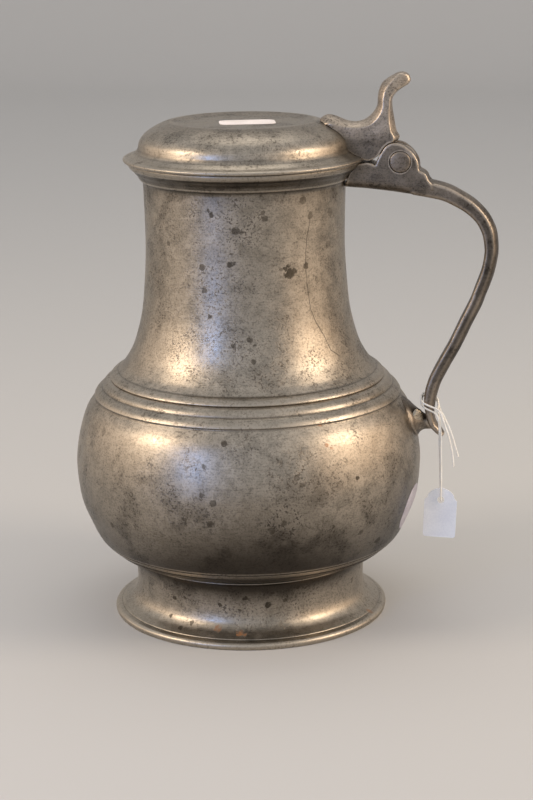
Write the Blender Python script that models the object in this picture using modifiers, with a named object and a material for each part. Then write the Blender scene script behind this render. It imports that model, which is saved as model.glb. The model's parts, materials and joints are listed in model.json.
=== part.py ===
"""Pewter flagon with a hinged lid: every piece as its own closed solid, in metres, +Z up.

The vessel is turned about its own axis. The box round the whole flagon is centred on the origin,
so the vessel's axis stands a little to the left of it and the handle lies along +X.
"""

import math

import bmesh
import bpy
from mathutils import Vector

# Sizes of the vessel
belly_radius = 0.0949
foot_radius = 0.076
waist_radius = 0.0632
foot_height = 0.0338
seam_height = 0.1334
rim_height = 0.2513
neck_radius = 0.0539
lip_radius = 0.0625
lip_depth = 0.0099
body_wall = 0.0026
bead_rise = 0.0012
groove_depth = 0.0005
base_disc_radius = 0.0600
base_disc_thickness = 0.0025
ledge_width = 0.0040
ledge_thickness = 0.0027

# Sizes of the lid and its hinge
lid_radius = 0.065
lid_height = 0.0208
lid_wall = 0.0025
lid_bearing_width = 0.0080
block_offset = 0.0182
hinge_offset = 0.0193
ear_radius = 0.0111
hinge_width = 0.0150
knuckle_width = 0.0050
knuckle_radius = 0.0082
web_radius = 0.0150
slot_radius = 0.0162
pin_radius = 0.0026
cap_radius = 0.0056
cap_depth = 0.0020
cap_proud = 0.0008
cap_edge = 0.0003
bracket_reach = 0.0422
thumb_height = 0.0469

# Sizes of the handle and its strut
handle_reach = 0.1364
strap_root_thickness = 0.0094
strap_thickness = 0.0072
strap_foot_thickness = 0.0070
strap_width = 0.0146
strap_foot_width = 0.0118
strap_edge = 0.0022
block_edge = 0.0050
strut_drop = 0.0224
strut_length = 0.0103
strut_flare_radius = 0.0103

# Sizes of the tag and its string
string_diameter = 0.0011
string_drop = 0.0446
string_clearance = 0.0025
card_width = 0.0178
card_height = 0.0281
card_thickness = 0.0007
card_shoulder = 0.0056
card_corner = 0.0016
card_hole_radius = 0.0019
card_hole_drop = 0.0068
card_tilt = math.radians(2.5)

# Fits, overruns and steps
joint_gap = 0.0003
running_gap = 0.0004
overrun = 0.0040
turning_steps = 36
round_steps = 28
hole_steps = 20
span_steps = 2
merge_distance = 0.00001

# Outlines, as shares of the sizes named beside them
# belly: radius over belly_radius, height over seam_height
belly_shares = [
    (0.7893, 1.0), (0.838, 0.9618), (0.881, 0.9265), (0.9347, 0.8696), (0.9705, 0.7946),
    (0.9937, 0.7121), (1.0, 0.6297), (0.981, 0.5097), (0.9305, 0.4123), (0.8767, 0.3373),
    (0.7977, 0.2864),
]
# neck: how far out from neck_radius to the seam, and up from the seam to the rim
neck_shares = [
    (0.029, 0.913), (0.005, 0.751), (0.0, 0.607), (0.043, 0.463), (0.119, 0.327), (0.243, 0.226),
    (0.400, 0.141), (0.624, 0.073), (0.790, 0.039),
]
# lip: how far out from neck_radius to lip_radius, and up over lip_depth
lip_shares = [
    (0.953, 1.0), (1.0, 0.97), (1.0, 0.889), (0.895, 0.707), (0.663, 0.556), (0.600, 0.470),
    (0.419, 0.313), (0.250, 0.030), (0.085, -0.030),
]
mouth_shares = [(0.30, 0.89), (0.05, 0.52), (-0.16, -0.04)]
# reeding under and over the seam: distance from the seam over its depth, rise over bead_rise
reed_depth = 0.0095
reed_over_shares = [(0.43, -0.10), (0.40, 0.70), (0.28, 1.15), (0.09, 1.0), (0.02, -0.35)]
reed_under_shares = [
    (0.02, -0.35), (0.09, 1.0), (0.26, 1.2), (0.43, 0.75), (0.48, 0.15), (0.56, 0.95),
    (0.74, 1.25), (0.91, 0.95), (0.97, 0.70), (1.01, 0.0),
]
# fine lines round the bottom of the belly: height over seam_height, depth over groove_depth
foot_line_shares = [(0.3335, 0.0), (0.3305, -1.0), (0.3270, 0.0), (0.3085, 0.0), (0.3055, -1.0), (0.3020, 0.0)]
underside_shares = [(0.7920, 0.2835), (0.7450, 0.2710), (0.7030, 0.2566)]
# foot: how far out from waist_radius to foot_radius, height over foot_height
foot_shares = [
    (0.250, 1.0), (0.140, 0.953), (0.055, 0.858), (0.008, 0.710), (0.0, 0.503), (0.031, 0.370),
    (0.125, 0.266), (0.312, 0.201), (0.531, 0.166), (0.680, 0.151), (0.703, 0.133), (0.890, 0.121),
    (0.984, 0.092), (1.0, 0.053), (0.977, 0.015), (0.937, 0.0),
]
foot_hollow_shares = [(0.492, 0.0), (0.300, 0.070), (0.0, 0.150), (-0.180, 0.300), (-0.234, 0.600), (-0.220, 0.910)]
# lid: radius over lid_radius, height over lid_height
lid_shares = [
    (0.0, 0.942), (0.477, 0.942), (0.554, 0.981), (0.600, 1.0), (0.651, 0.966), (0.695, 0.913),
    (0.766, 0.798), (0.823, 0.663), (0.860, 0.500), (0.874, 0.317), (0.894, 0.226), (0.945, 0.135),
    (0.991, 0.091), (1.0, 0.0625), (0.998, 0.029), (0.991, 0.0),
]
lid_dome_count = 10
# handle above its widest point: how far out from the block to the handle's reach, up from the strut
# to the pin; and below that point: how far out from the strut's end to the handle's reach
strap_upper_shares = [
    (0.063, 0.914), (0.197, 0.905), (0.354, 0.894), (0.509, 0.881), (0.664, 0.854), (0.762, 0.8325), (0.841, 0.808),
    (0.904, 0.782), (0.949, 0.7534), (0.981, 0.7227), (1.0, 0.670),
]
strap_lower_shares = [
    (0.988, 0.634), (0.930, 0.570), (0.809, 0.495), (0.736, 0.4505), (0.553, 0.364), (0.395, 0.287),
    (0.216, 0.2117), (0.067, 0.142), (-0.003, 0.0805), (-0.012, 0.0356), (0.009, 0.0),
    (0.048, -0.0257), (0.111, -0.0435), (0.170, -0.0592), (0.220, -0.0706),
]
# how thick and how wide the strap is in its first and its last sections, over its size there
strap_root_shares = (0.62, 0.86)
strap_tail_shares = [
    (0.91, 1.0), (0.80, 1.0), (0.67, 1.0), (0.57, 1.0), (0.55, 0.98), (0.54, 0.93), (0.52, 0.82), (0.49, 0.62),
]
strap_crown_shares = (0.10, 0.48)
strap_crown_end_share = 0.35
# hinge block: distance from the pin over ear_radius
block_front_shares = [(-2.60, -1.250), (-2.225, -0.117), (-1.73, -0.063), (-1.505, -0.027), (-1.252, -0.063)]
block_back_shares = [
    (1.045, -0.423), (1.261, -0.5225), (1.378, -0.658), (1.441, -0.856), (1.550, -0.964),
    (1.649, -1.243), (1.480, -1.700),
]
block_under_shares = [(0.306, -1.55), (-0.288, -1.459), (-0.892, -1.396), (-1.486, -1.333)]
ear_shares = [
    (-1.072, -0.198), (-1.054, -0.027), (-0.955, 0.180), (-0.829, 0.423), (-0.667, 0.667),
    (-0.468, 0.838), (-0.243, 0.910), (0.027, 0.874), (0.252, 0.793), (0.450, 0.658),
    (0.649, 0.477), (0.802, 0.288), (0.919, 0.072), (0.973, -0.153), (0.982, -0.369),
]
slot_from = math.radians(178)
slot_to = math.radians(354)
# thumbpiece: for each station its front edge, front ridge, back edge and back ridge, measured from
# the pin over bracket_reach and thumb_height, and its half width over half of hinge_width
thumb_shares = [
    ((-0.976, 0.407), (-1.000, 0.467), (-0.941, 0.356), (-0.941, 0.356), 0.43),
    ((-0.929, 0.420), (-0.941, 0.507), (-0.874, 0.324), (-0.874, 0.324), 0.82),
    ((-0.858, 0.429), (-0.870, 0.520), (-0.787, 0.239), (-0.787, 0.239), 1.00),
    ((-0.761, 0.414), (-0.773, 0.495), (-0.621, 0.111), (-0.621, 0.111), 1.00),
    ((-0.666, 0.394), (-0.668, 0.456), (-0.455, 0.028), (-0.455, 0.028), 1.00),
    ((-0.562, 0.386), (-0.562, 0.439), (-0.336, 0.019), (-0.336, 0.019), 1.00),
    ((-0.460, 0.390), (-0.464, 0.454), (-0.182, 0.122), (-0.182, 0.122), 1.00),
    ((-0.355, 0.414), (-0.384, 0.493), (-0.050, 0.249), (0.004, 0.249), 1.00),
    ((-0.273, 0.473), (-0.322, 0.548), (-0.085, 0.337), (-0.030, 0.337), 1.00),
    ((-0.218, 0.548), (-0.284, 0.603), (-0.107, 0.431), (-0.052, 0.431), 1.00),
    ((-0.194, 0.618), (-0.270, 0.646), (-0.109, 0.540), (-0.073, 0.540), 0.99),
    ((-0.190, 0.691), (-0.268, 0.706), (-0.102, 0.650), (-0.088, 0.650), 0.96),
    ((-0.178, 0.757), (-0.256, 0.783), (-0.092, 0.710), (-0.078, 0.704), 0.92),
    ((-0.147, 0.823), (-0.216, 0.868), (-0.069, 0.748), (-0.055, 0.740), 0.85),
    ((-0.104, 0.876), (-0.156, 0.919), (-0.033, 0.785), (-0.021, 0.774), 0.77),
    ((-0.052, 0.932), (-0.090, 0.957), (0.009, 0.817), (0.021, 0.804), 0.67),
    ((0.007, 0.972), (-0.007, 0.994), (0.055, 0.842), (0.066, 0.832), 0.56),
    ((0.066, 0.981), (0.066, 0.996), (0.097, 0.864), (0.111, 0.857), 0.45),
    ((0.114, 0.958), (0.121, 0.970), (0.132, 0.896), (0.142, 0.892), 0.34),
    ((0.134, 0.936), (0.139, 0.940), (0.142, 0.918), (0.146, 0.917), 0.19),
]
crown_steps_shares = (-1.0, -0.6, 0.0, 0.6, 1.0)
web_angles = (math.radians(108), math.radians(134), math.radians(160))
knuckle_from = math.radians(172)
knuckle_to = math.radians(462)
# strut: for each section how far out from the belly over strut_length, then how far up and how
# wide over strut_flare_radius, and how far it leans back
strut_shares = [
    (-0.28, 0.05, 1.12, math.radians(16)), (0.06, -0.07, 1.0, math.radians(16)),
    (0.27, -0.135, 0.74, math.radians(12)), (0.505, -0.20, 0.545, math.radians(6)),
    (0.74, -0.27, 0.41, 0.0), (1.08, -0.29, 0.38, 0.0),
]
# string: out from the strap's foot, across it and up, over string_drop, loop_half_width and
# string_drop. It starts at one cut end, rises to the knot, goes round the handle, hangs to the
# card and back, goes round again and ends free
string_shares = [
    (0.294, -1.095, -0.570), (0.285, -1.119, -0.460), (0.262, -1.143, -0.314),
    (0.235, -1.143, -0.197), (0.202, -1.143, -0.099), (0.170, -1.131, -0.004),
    (0.148, -1.107, 0.067), (0.117, -1.071, 0.121), (0.074, -1.024, 0.148), (0.020, -0.976, 0.168),
    (-0.029, -0.929, 0.186), (-0.078, -0.830, 0.205), (-0.108, -0.548, 0.224),
    (-0.113, -0.167, 0.242), (-0.108, 0.238, 0.258), (-0.092, 0.643, 0.262), (-0.052, 0.929, 0.250),
    (0.002, 1.000, 0.232), (0.048, 0.881, 0.211), (0.080, 0.571, 0.188), (0.090, 0.190, 0.166),
    (0.094, -0.214, 0.142), (0.100, -0.595, 0.112), (0.108, -0.833, 0.072), (0.117, -0.940, 0.012),
    (0.128, -1.024, -0.075), (0.139, -1.071, -0.179), (0.141, -1.107, -0.404),
    (0.146, -1.131, -0.695), (0.143, -1.167, -0.888), (0.141, -1.143, -0.971),
    (0.141, -1.083, -1.007), (0.141, -0.964, -1.018), (0.141, -0.845, -1.007),
    (0.139, -0.786, -0.971), (0.137, -0.774, -0.888), (0.132, -0.821, -0.695),
    (0.125, -0.929, -0.404), (0.120, -1.024, -0.179), (0.115, -1.060, -0.067),
    (0.106, -1.095, 0.022), (0.088, -1.107, 0.070), (0.054, -1.048, 0.100), (0.004, -1.000, 0.122),
    (-0.043, -0.929, 0.141), (-0.084, -0.810, 0.163), (-0.108, -0.548, 0.186),
    (-0.110, -0.167, 0.208), (-0.108, 0.238, 0.224), (-0.096, 0.643, 0.229), (-0.054, 0.940, 0.216),
    (0.002, 1.012, 0.196), (0.050, 0.893, 0.175), (0.085, 0.571, 0.154), (0.099, 0.190, 0.132),
    (0.112, -0.190, 0.115), (0.134, -0.548, 0.094), (0.162, -0.810, 0.060), (0.191, -0.940, 0.005),
    (0.229, -0.964, -0.070), (0.276, -0.952, -0.197), (0.307, -0.940, -0.309),
    (0.339, -0.929, -0.417), (0.348, -0.929, -0.457),
]
# the middle of the card's hole, over the same sizes
card_share = (0.141, -0.964, -1.007)

# Places that follow from the sizes
axis_x = (belly_radius - handle_reach) / 2
strut_height = seam_height - strut_drop
lid_base = rim_height + joint_gap
block_x = lid_radius + block_offset
pin_x = lid_radius + hinge_offset
pin_z = rim_height
seam_radius = belly_shares[0][0] * belly_radius
neck_height = rim_height - seam_height
strap_centre_reach = handle_reach - strap_thickness / 2
loop_half_width = strap_foot_width / 2 + string_clearance


def remove_start_objects():
    for obj in list(bpy.data.objects):
        bpy.data.objects.remove(obj)


def new_collection(name):
    collection = bpy.data.collections.new(name)
    bpy.context.scene.collection.children.link(collection)
    return collection


def make_material(name, colour, metallic, roughness):
    material = bpy.data.materials.new(name)
    material.use_nodes = True
    shader = material.node_tree.nodes["Principled BSDF"]
    shader.inputs["Base Color"].default_value = (*colour, 1.0)
    shader.inputs["Metallic"].default_value = metallic
    shader.inputs["Roughness"].default_value = roughness
    return material


def add_object(name, mesh, material, parent):
    obj = bpy.data.objects.new(name, mesh)
    parts.objects.link(obj)
    obj.data.materials.append(material)
    obj.parent = parent
    return obj


def add_cutter(name, mesh, parent):
    obj = bpy.data.objects.new(name, mesh)
    cutters.objects.link(obj)
    obj.parent = parent
    obj.hide_render = True
    obj.display_type = "WIRE"
    return obj


def shade(obj):
    obj.data.shade_smooth()
    obj.data.set_sharp_from_angle(angle=math.radians(35))


def smooth_line(points, steps=span_steps):
    """A Catmull-Rom curve through the points, with so many steps from one to the next."""
    ends = [2 * points[0] - points[1]] + points + [2 * points[-1] - points[-2]]
    line = []
    for before, start, end, after in zip(ends, ends[1:], ends[2:], ends[3:]):
        for step in range(steps):
            t = step / steps
            line.append(
                0.5 * (
                    2 * start
                    + (end - before) * t
                    + (2 * before - 5 * start + 4 * end - after) * t ** 2
                    + (3 * start - before - 3 * end + after) * t ** 3
                )
            )
    return line + [points[-1]]


def radius_at(line, height):
    """The radius of a line that runs from top to bottom, at a height."""
    for upper, lower in zip(line, line[1:]):
        if lower.y <= height <= upper.y:
            share = (height - lower.y) / (upper.y - lower.y)
            return lower.x + share * (upper.x - lower.x)
    return line[-1].x


def offset_line(line, distance):
    """The line moved outwards by a distance, square to its own run."""
    moved = []
    for index, point in enumerate(line):
        before = line[max(index - 1, 0)]
        after = line[min(index + 1, len(line) - 1)]
        run = (after - before).normalized()
        moved.append(point + distance * Vector((-run.y, run.x)))
    return moved


def profile_mesh(name, profile):
    """The edges of a profile of (radius, height) points; it is closed unless it ends on the axis."""
    count = len(profile)
    open_ended = profile[0].x == 0 and profile[-1].x == 0
    edges = [(i, (i + 1) % count) for i in range(count - 1 if open_ended else count)]
    mesh = bpy.data.meshes.new(name)
    mesh.from_pydata([(p.x, 0, p.y) for p in profile], edges, [])
    return mesh


def add_turning(obj, steps=turning_steps):
    screw = obj.modifiers.new("Turn", "SCREW")
    screw.axis = "Z"
    screw.steps = steps
    screw.render_steps = steps
    screw.use_merge_vertices = True
    screw.merge_threshold = merge_distance


def turned(name, profile, material, parent, steps=turning_steps):
    obj = add_object(name, profile_mesh(name, profile), material, parent)
    add_turning(obj, steps)
    shade(obj)
    return obj


def turned_cutter(name, profile, parent, steps=turning_steps):
    obj = add_cutter(name, profile_mesh(name, profile), parent)
    add_turning(obj, steps)
    return obj


def boolean(obj, other, operation):
    modifier = obj.modifiers.new(operation.title(), "BOOLEAN")
    modifier.operation = operation
    modifier.solver = "EXACT"
    modifier.object = other


def extruded_mesh(name, outline, half_width):
    """An outline of (x, z) points, made as thick as two half widths along Y."""
    shape = bmesh.new()
    near = [shape.verts.new((p.x, -half_width, p.y)) for p in outline]
    face = shape.faces.new(near)
    moved = bmesh.ops.extrude_face_region(shape, geom=[face])["geom"]
    verts = [item for item in moved if isinstance(item, bmesh.types.BMVert)]
    bmesh.ops.translate(shape, verts=verts, vec=(0, 2 * half_width, 0))
    bmesh.ops.recalc_face_normals(shape, faces=shape.faces)
    mesh = bpy.data.meshes.new(name)
    shape.to_mesh(mesh)
    shape.free()
    return mesh


def loft_mesh(name, sections):
    """A closed skin through sections that have as many points each."""
    shape = bmesh.new()
    rings = [[shape.verts.new(point) for point in section] for section in sections]
    for ring, following in zip(rings, rings[1:]):
        for index in range(len(ring)):
            after = (index + 1) % len(ring)
            shape.faces.new((ring[index], ring[after], following[after], following[index]))
    shape.faces.new(rings[0])
    shape.faces.new(rings[-1])
    bmesh.ops.recalc_face_normals(shape, faces=shape.faces)
    mesh = bpy.data.meshes.new(name)
    shape.to_mesh(mesh)
    shape.free()
    return mesh


def cylinder_mesh(name, radius, half_width, steps=round_steps):
    """A cylinder along Y, centred on the origin."""
    outline = [
        Vector((radius * math.cos(2 * math.pi * i / steps), radius * math.sin(2 * math.pi * i / steps)))
        for i in range(steps)
    ]
    return extruded_mesh(name, outline, half_width)


# Lines of the vessel, from top to bottom

def belly_line():
    return [Vector((r * belly_radius, h * seam_height)) for r, h in belly_shares]


def neck_line():
    swell = seam_radius - neck_radius
    return [Vector((neck_radius + r * swell, seam_height + h * neck_height)) for r, h in neck_shares]


def body_line():
    """The neck in short steps and the belly, which bends more gently, in its own points."""
    joined = neck_line() + belly_line()
    split = len(neck_line()) * span_steps
    return smooth_line(joined)[:split] + belly_line()


def lip_points(shares):
    flare = lip_radius - neck_radius
    return [Vector((neck_radius + r * flare, rim_height - lip_depth + h * lip_depth)) for r, h in shares]


def reed_points(line, shares, side):
    points = []
    for distance, rise in shares:
        height = seam_height + side * distance * reed_depth
        points.append(Vector((radius_at(line, height) + rise * bead_rise, height)))
    return points


def neck_outside():
    line = body_line()
    top_of_reeds = seam_height + reed_over_shares[0][0] * reed_depth
    neck = [p for p in line if top_of_reeds + bead_rise / 2 < p.y <= neck_line()[0].y]
    return lip_points(lip_shares) + neck + reed_points(line, reed_over_shares, 1)


def bowl_outside():
    line = body_line()
    reeds = reed_points(line, reed_under_shares, -1)
    lines_top = foot_line_shares[0][0] * seam_height
    belly = [p for p in line if lines_top + groove_depth < p.y < reeds[-1].y - bead_rise / 2]
    fine_lines = []
    for share, depth in foot_line_shares:
        height = share * seam_height
        fine_lines.append(Vector((radius_at(line, height) + depth * groove_depth, height)))
    underside = [Vector((r * belly_radius, h * seam_height)) for r, h in underside_shares]
    return reeds + belly + fine_lines + underside


def wall_inside(lowest, highest):
    """The inner face of the body's wall between two heights, from bottom to top."""
    inner = offset_line(neck_line() + belly_line(), -body_wall)
    return [p for p in reversed(inner) if lowest < p.y < highest]


def vessel_envelope():
    """The vessel's outer faces from the rim to the foot joint, moved out by the joint gap."""
    outside = offset_line(neck_outside() + bowl_outside(), joint_gap)
    top = Vector((0, outside[0].y + overrun))
    return [top, Vector((outside[0].x, top.y))] + outside + [Vector((0, outside[-1].y))]


# The pieces

def make_foot(parent):
    swell = foot_radius - waist_radius
    outside = [Vector((waist_radius + r * swell, h * foot_height)) for r, h in foot_shares]
    inside = [Vector((waist_radius + r * swell, h * foot_height)) for r, h in foot_hollow_shares]
    flange = base_disc_radius - ledge_width
    inside += [Vector((flange, inside[-1].y)), Vector((flange, foot_height))]
    return turned("foot", outside + inside, pewter, parent)


def make_bowl(parent):
    outside = bowl_outside()
    bottom = foot_height + joint_gap
    outside[-1].y = bottom
    ledge_top = bottom + ledge_thickness
    disc_top = ledge_top + joint_gap + base_disc_thickness
    pocket = base_disc_radius + joint_gap
    ledge = [
        Vector((base_disc_radius - ledge_width, bottom)),
        Vector((base_disc_radius - ledge_width, ledge_top)),
        Vector((pocket, ledge_top)),
        Vector((pocket, disc_top)),
    ]
    seam = outside[0].y
    inside = wall_inside(disc_top + body_wall / 2, seam - body_wall / 2)
    rim = Vector((outside[0].x - body_wall, seam))
    return turned("bowl", outside + ledge + inside + [rim], pewter, parent)


def make_base_disc(parent):
    top = foot_height + 2 * joint_gap + ledge_thickness + base_disc_thickness
    bottom = top - base_disc_thickness
    profile = [
        Vector((0, top)), Vector((base_disc_radius, top)),
        Vector((base_disc_radius, bottom)), Vector((0, bottom)),
    ]
    return turned("base_disc", profile, pewter, parent)


def make_neck(parent):
    outside = neck_outside()
    seam = outside[-1].y
    mouth = lip_points(mouth_shares)
    inside = wall_inside(seam + body_wall / 2, mouth[-1].y - body_wall)
    rim = Vector((outside[-1].x - body_wall, seam))
    lip_inner = Vector((mouth[0].x + bead_rise, rim_height))
    return turned("neck", outside + [rim] + inside + mouth[::-1] + [lip_inner], pewter, parent)


def lid_outside():
    return [Vector((r * lid_radius, lid_base + h * lid_height)) for r, h in lid_shares]


def make_lid(parent):
    outside = lid_outside()
    dome = offset_line(outside[1:lid_dome_count + 1], -lid_wall)
    bearing = outside[-1].x - lid_bearing_width
    inside = [Vector((bearing, lid_base)), Vector((dome[-1].x, dome[-1].y - lid_wall))]
    inside += dome[::-1] + [Vector((0, dome[0].y))]
    return turned("lid", outside + inside, pewter, parent)


def strap_sections(grow=0.0):
    """Sections of the handle's strap: flat inside, crowned outside, smaller to its foot."""
    points = []
    for start, shares in ((block_x, strap_upper_shares), (strap_foot_x(), strap_lower_shares)):
        for r, h in shares:
            points.append(Vector((start + r * (strap_centre_reach - start), strut_height + h * (pin_z - strut_height))))
    path = smooth_line(points)
    last = len(path) - 1
    widest = max(range(len(path)), key=lambda index: path[index].x)
    end_scales = {0: strap_root_shares}
    for back, shares in enumerate(reversed(strap_tail_shares)):
        end_scales[last - back] = shares
    sections = []
    for index, point in enumerate(path):
        run = (path[min(index + 1, last)] - path[max(index - 1, 0)]).normalized()
        outward = Vector((-run.y, run.x))
        share = index / last
        if index < widest:
            thickness = strap_root_thickness + (strap_thickness - strap_root_thickness) * index / widest
        else:
            down = (index - widest) / (last - widest)
            thickness = strap_thickness + (strap_foot_thickness - strap_thickness) * down
        width = strap_width + (strap_foot_width - strap_width) * share
        end_scale = end_scales.get(index, (1, 1))
        thickness *= end_scale[0]
        width *= end_scale[1]
        crown_share = min(share / strap_crown_end_share, 1.0)
        crown = thickness * (strap_crown_shares[0] + (strap_crown_shares[1] - strap_crown_shares[0]) * crown_share)
        sections.append(d_section(point, outward, width / 2, thickness / 2, crown, grow))
    return sections


def d_section(point, outward, half, depth, crown, grow):
    """One section of the strap: two round inner corners and an arched outer face."""
    corner = min(strap_edge, depth / 2)
    points = []
    for side, start in ((-1, math.pi), (1, 1.5 * math.pi)):
        for step in range(3):
            angle = start + math.pi / 2 * step / 2
            points.append((
                side * (half - corner) + (corner + grow) * math.cos(angle),
                corner - depth + (corner + grow) * math.sin(angle),
            ))
    for step in range(7):
        angle = math.pi * step / 6
        points.append(((half + grow) * math.cos(angle), depth - crown + (crown + grow) * math.sin(angle)))
    return [(point.x + out * outward.x, across, point.y + out * outward.y) for across, out in points]


def strut_root_x():
    return radius_at(body_line(), strut_height)


def strap_foot_x():
    return strut_root_x() + strut_length


def at_block(shares):
    return [Vector((block_x + x * ear_radius, pin_z + z * ear_radius)) for x, z in shares]


def ear_line():
    return smooth_line(at_block(ear_shares))


def block_outline():
    return at_block(block_front_shares) + ear_line() + at_block(block_back_shares) + at_block(block_under_shares)


def slot_outline():
    """The knuckle's room between the ears, opened upwards for the web that swings with the lid."""
    outline = []
    steps = round_steps // 2
    for radius, start, end in (
        (knuckle_radius + running_gap, slot_from, slot_to),
        (slot_radius, slot_to, slot_from + 2 * math.pi),
    ):
        for step in range(steps + 1):
            angle = start + (end - start) * step / steps
            outline.append(Vector((radius * math.cos(angle), radius * math.sin(angle))))
    return outline


def round_lower_edges(mesh, half_width):
    """Rounds the long edges under the hinge block, where a hand closes round it."""
    lowest = pin_z - ear_radius
    shape = bmesh.new()
    shape.from_mesh(mesh)
    edges = []
    for edge in shape.edges:
        start, end = (vert.co for vert in edge.verts)
        on_side = abs(start.y - end.y) < merge_distance
        if on_side and max(start.z, end.z) < lowest and abs(start.x - end.x) > half_width / 2:
            edges.append(edge)
    bmesh.ops.bevel(
        shape, geom=edges, offset=block_edge, segments=4, profile=0.5, affect="EDGES", clamp_overlap=True
    )
    shape.to_mesh(mesh)
    shape.free()


def make_handle(parent, envelope):
    mesh = extruded_mesh("handle", block_outline(), hinge_width / 2)
    round_lower_edges(mesh, hinge_width / 2)
    handle = add_object("handle", mesh, cast_pewter, parent)
    strap = add_cutter("strap", loft_mesh("strap", strap_sections()), parent)
    boolean(handle, strap, "UNION")
    boolean(handle, envelope, "DIFFERENCE")
    slot = extruded_mesh("slot", slot_outline(), knuckle_width / 2 + joint_gap)
    bore = cylinder_mesh("pin_bore", pin_radius + joint_gap, hinge_width, hole_steps)
    seat = cylinder_mesh("cap_seat", cap_radius + joint_gap, cap_depth, hole_steps)
    for cutter_mesh, places in ((slot, (0,)), (bore, (0,)), (seat, (-hinge_width / 2, hinge_width / 2))):
        for y in places:
            cutter = add_cutter(cutter_mesh.name, cutter_mesh, parent)
            cutter.location = (pin_x, y, pin_z)
            boolean(handle, cutter, "DIFFERENCE")
    shade(handle)
    return handle


def make_strut(parent, envelope):
    """The short strut: its flared root lies along the belly and its end meets the strap."""
    sections = []
    for out, up, swell, lean in strut_shares:
        centre = Vector((strut_root_x() + out * strut_length, strut_height + up * strut_flare_radius))
        radius = swell * strut_flare_radius
        section = []
        for step in range(round_steps):
            angle = 2 * math.pi * step / round_steps
            rise = radius * math.sin(angle)
            section.append((
                centre.x - rise * math.sin(lean), radius * math.cos(angle), centre.y + rise * math.cos(lean)
            ))
        sections.append(section)
    strut = add_object("strut", loft_mesh("strut", sections), cast_pewter, parent)
    boolean(strut, envelope, "DIFFERENCE")
    strap = add_cutter("strap_clearance", loft_mesh("strap_clearance", strap_sections(joint_gap)), parent)
    boolean(strut, strap, "DIFFERENCE")
    shade(strut)
    return strut


def make_pin_and_caps(parent):
    inner = hinge_width / 2 - cap_depth
    pin_mesh = cylinder_mesh("hinge_pin", pin_radius, inner - joint_gap, hole_steps)
    pin = add_object("hinge_pin", pin_mesh, iron, parent)
    pin.location = (pin_x, 0, pin_z)
    shade(pin)
    outer = hinge_width / 2 + cap_proud
    profile = [
        Vector((0, outer)), Vector((cap_radius - 2 * cap_edge, outer)),
        Vector((cap_radius, outer - 2 * cap_edge)), Vector((cap_radius, inner)), Vector((0, inner)),
    ]
    for name, turn in (("pin_cap_near", math.pi / 2), ("pin_cap_far", -math.pi / 2)):
        cap = turned(name, profile, cast_pewter, parent, hole_steps)
        cap.location = (pin_x, 0, pin_z)
        cap.rotation_euler = (turn, 0, 0)


def thumb_line(column):
    """One line of the thumbpiece, from its toe on the lid to its curled tip, about the pin."""
    points = []
    for station in thumb_shares:
        x, z = station[column]
        points.append(Vector((block_offset - hinge_offset + x * bracket_reach, z * thumb_height)))
    return smooth_line(points)


def thumb_sections():
    widths = smooth_line([Vector((station[-1], 0)) for station in thumb_shares])
    lines = [thumb_line(column) for column in range(4)]
    sections = []
    for front, front_ridge, back, back_ridge, width in zip(*lines, widths):
        half = width.x * hinge_width / 2
        section = []
        for share in crown_steps_shares:
            place = front + (1 - share ** 2) * (front_ridge - front)
            section.append((place.x, share * half, place.y))
        section += [(back.x, half, back.y), (back_ridge.x, 0, back_ridge.y), (back.x, -half, back.y)]
        sections.append(section)
    return sections


def knuckle_outline():
    steps = round_steps - 2
    outline = []
    for step in range(steps + 1):
        angle = knuckle_from + (knuckle_to - knuckle_from) * step / steps
        outline.append(Vector((knuckle_radius * math.cos(angle), knuckle_radius * math.sin(angle))))
    for angle in web_angles:
        outline.append(Vector((web_radius * math.cos(angle), web_radius * math.sin(angle))))
    return outline


def make_thumbpiece(parent):
    thumb = add_object("thumbpiece", loft_mesh("thumbpiece", thumb_sections()), cast_pewter, parent)
    outside = offset_line(lid_outside(), joint_gap)
    outside[0].x = 0
    below = lid_base - overrun
    profile = outside + [Vector((outside[-1].x, below)), Vector((0, below))]
    lid_clearance = turned_cutter("lid_clearance", profile, parent)
    lid_clearance.location = (-pin_x, 0, -pin_z)
    notch = offset_line(ear_line(), running_gap)
    notch_floor = notch[-1].y - overrun
    notch += [Vector((notch[-1].x, notch_floor)), Vector((notch[0].x, notch_floor))]
    ear_clearance = add_cutter("ear_clearance", extruded_mesh("ear_clearance", notch, hinge_width), parent)
    ear_clearance.location = (-pin_x, 0, -pin_z)
    knuckle = add_cutter("knuckle", extruded_mesh("knuckle", knuckle_outline(), knuckle_width / 2), parent)
    bore = add_cutter(
        "knuckle_bore", cylinder_mesh("knuckle_bore", pin_radius + joint_gap, hinge_width, hole_steps), parent
    )
    boolean(thumb, lid_clearance, "DIFFERENCE")
    boolean(thumb, ear_clearance, "DIFFERENCE")
    boolean(thumb, knuckle, "UNION")
    boolean(thumb, bore, "DIFFERENCE")
    shade(thumb)
    return thumb


def string_point(shares):
    out, across, up = shares
    return (strap_foot_x() + out * string_drop, across * loop_half_width, strut_height + up * string_drop)


def make_string(parent):
    line = [string_point(shares) for shares in string_shares]
    curve = bpy.data.curves.new("tag_string", "CURVE")
    curve.dimensions = "3D"
    curve.bevel_depth = string_diameter / 2
    curve.bevel_resolution = 2
    curve.use_fill_caps = True
    spline = curve.splines.new("POLY")
    spline.points.add(len(line) - 1)
    for point, place in zip(spline.points, line):
        point.co = (*place, 1)
    return add_object("tag_string", curve, cotton, parent)


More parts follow.
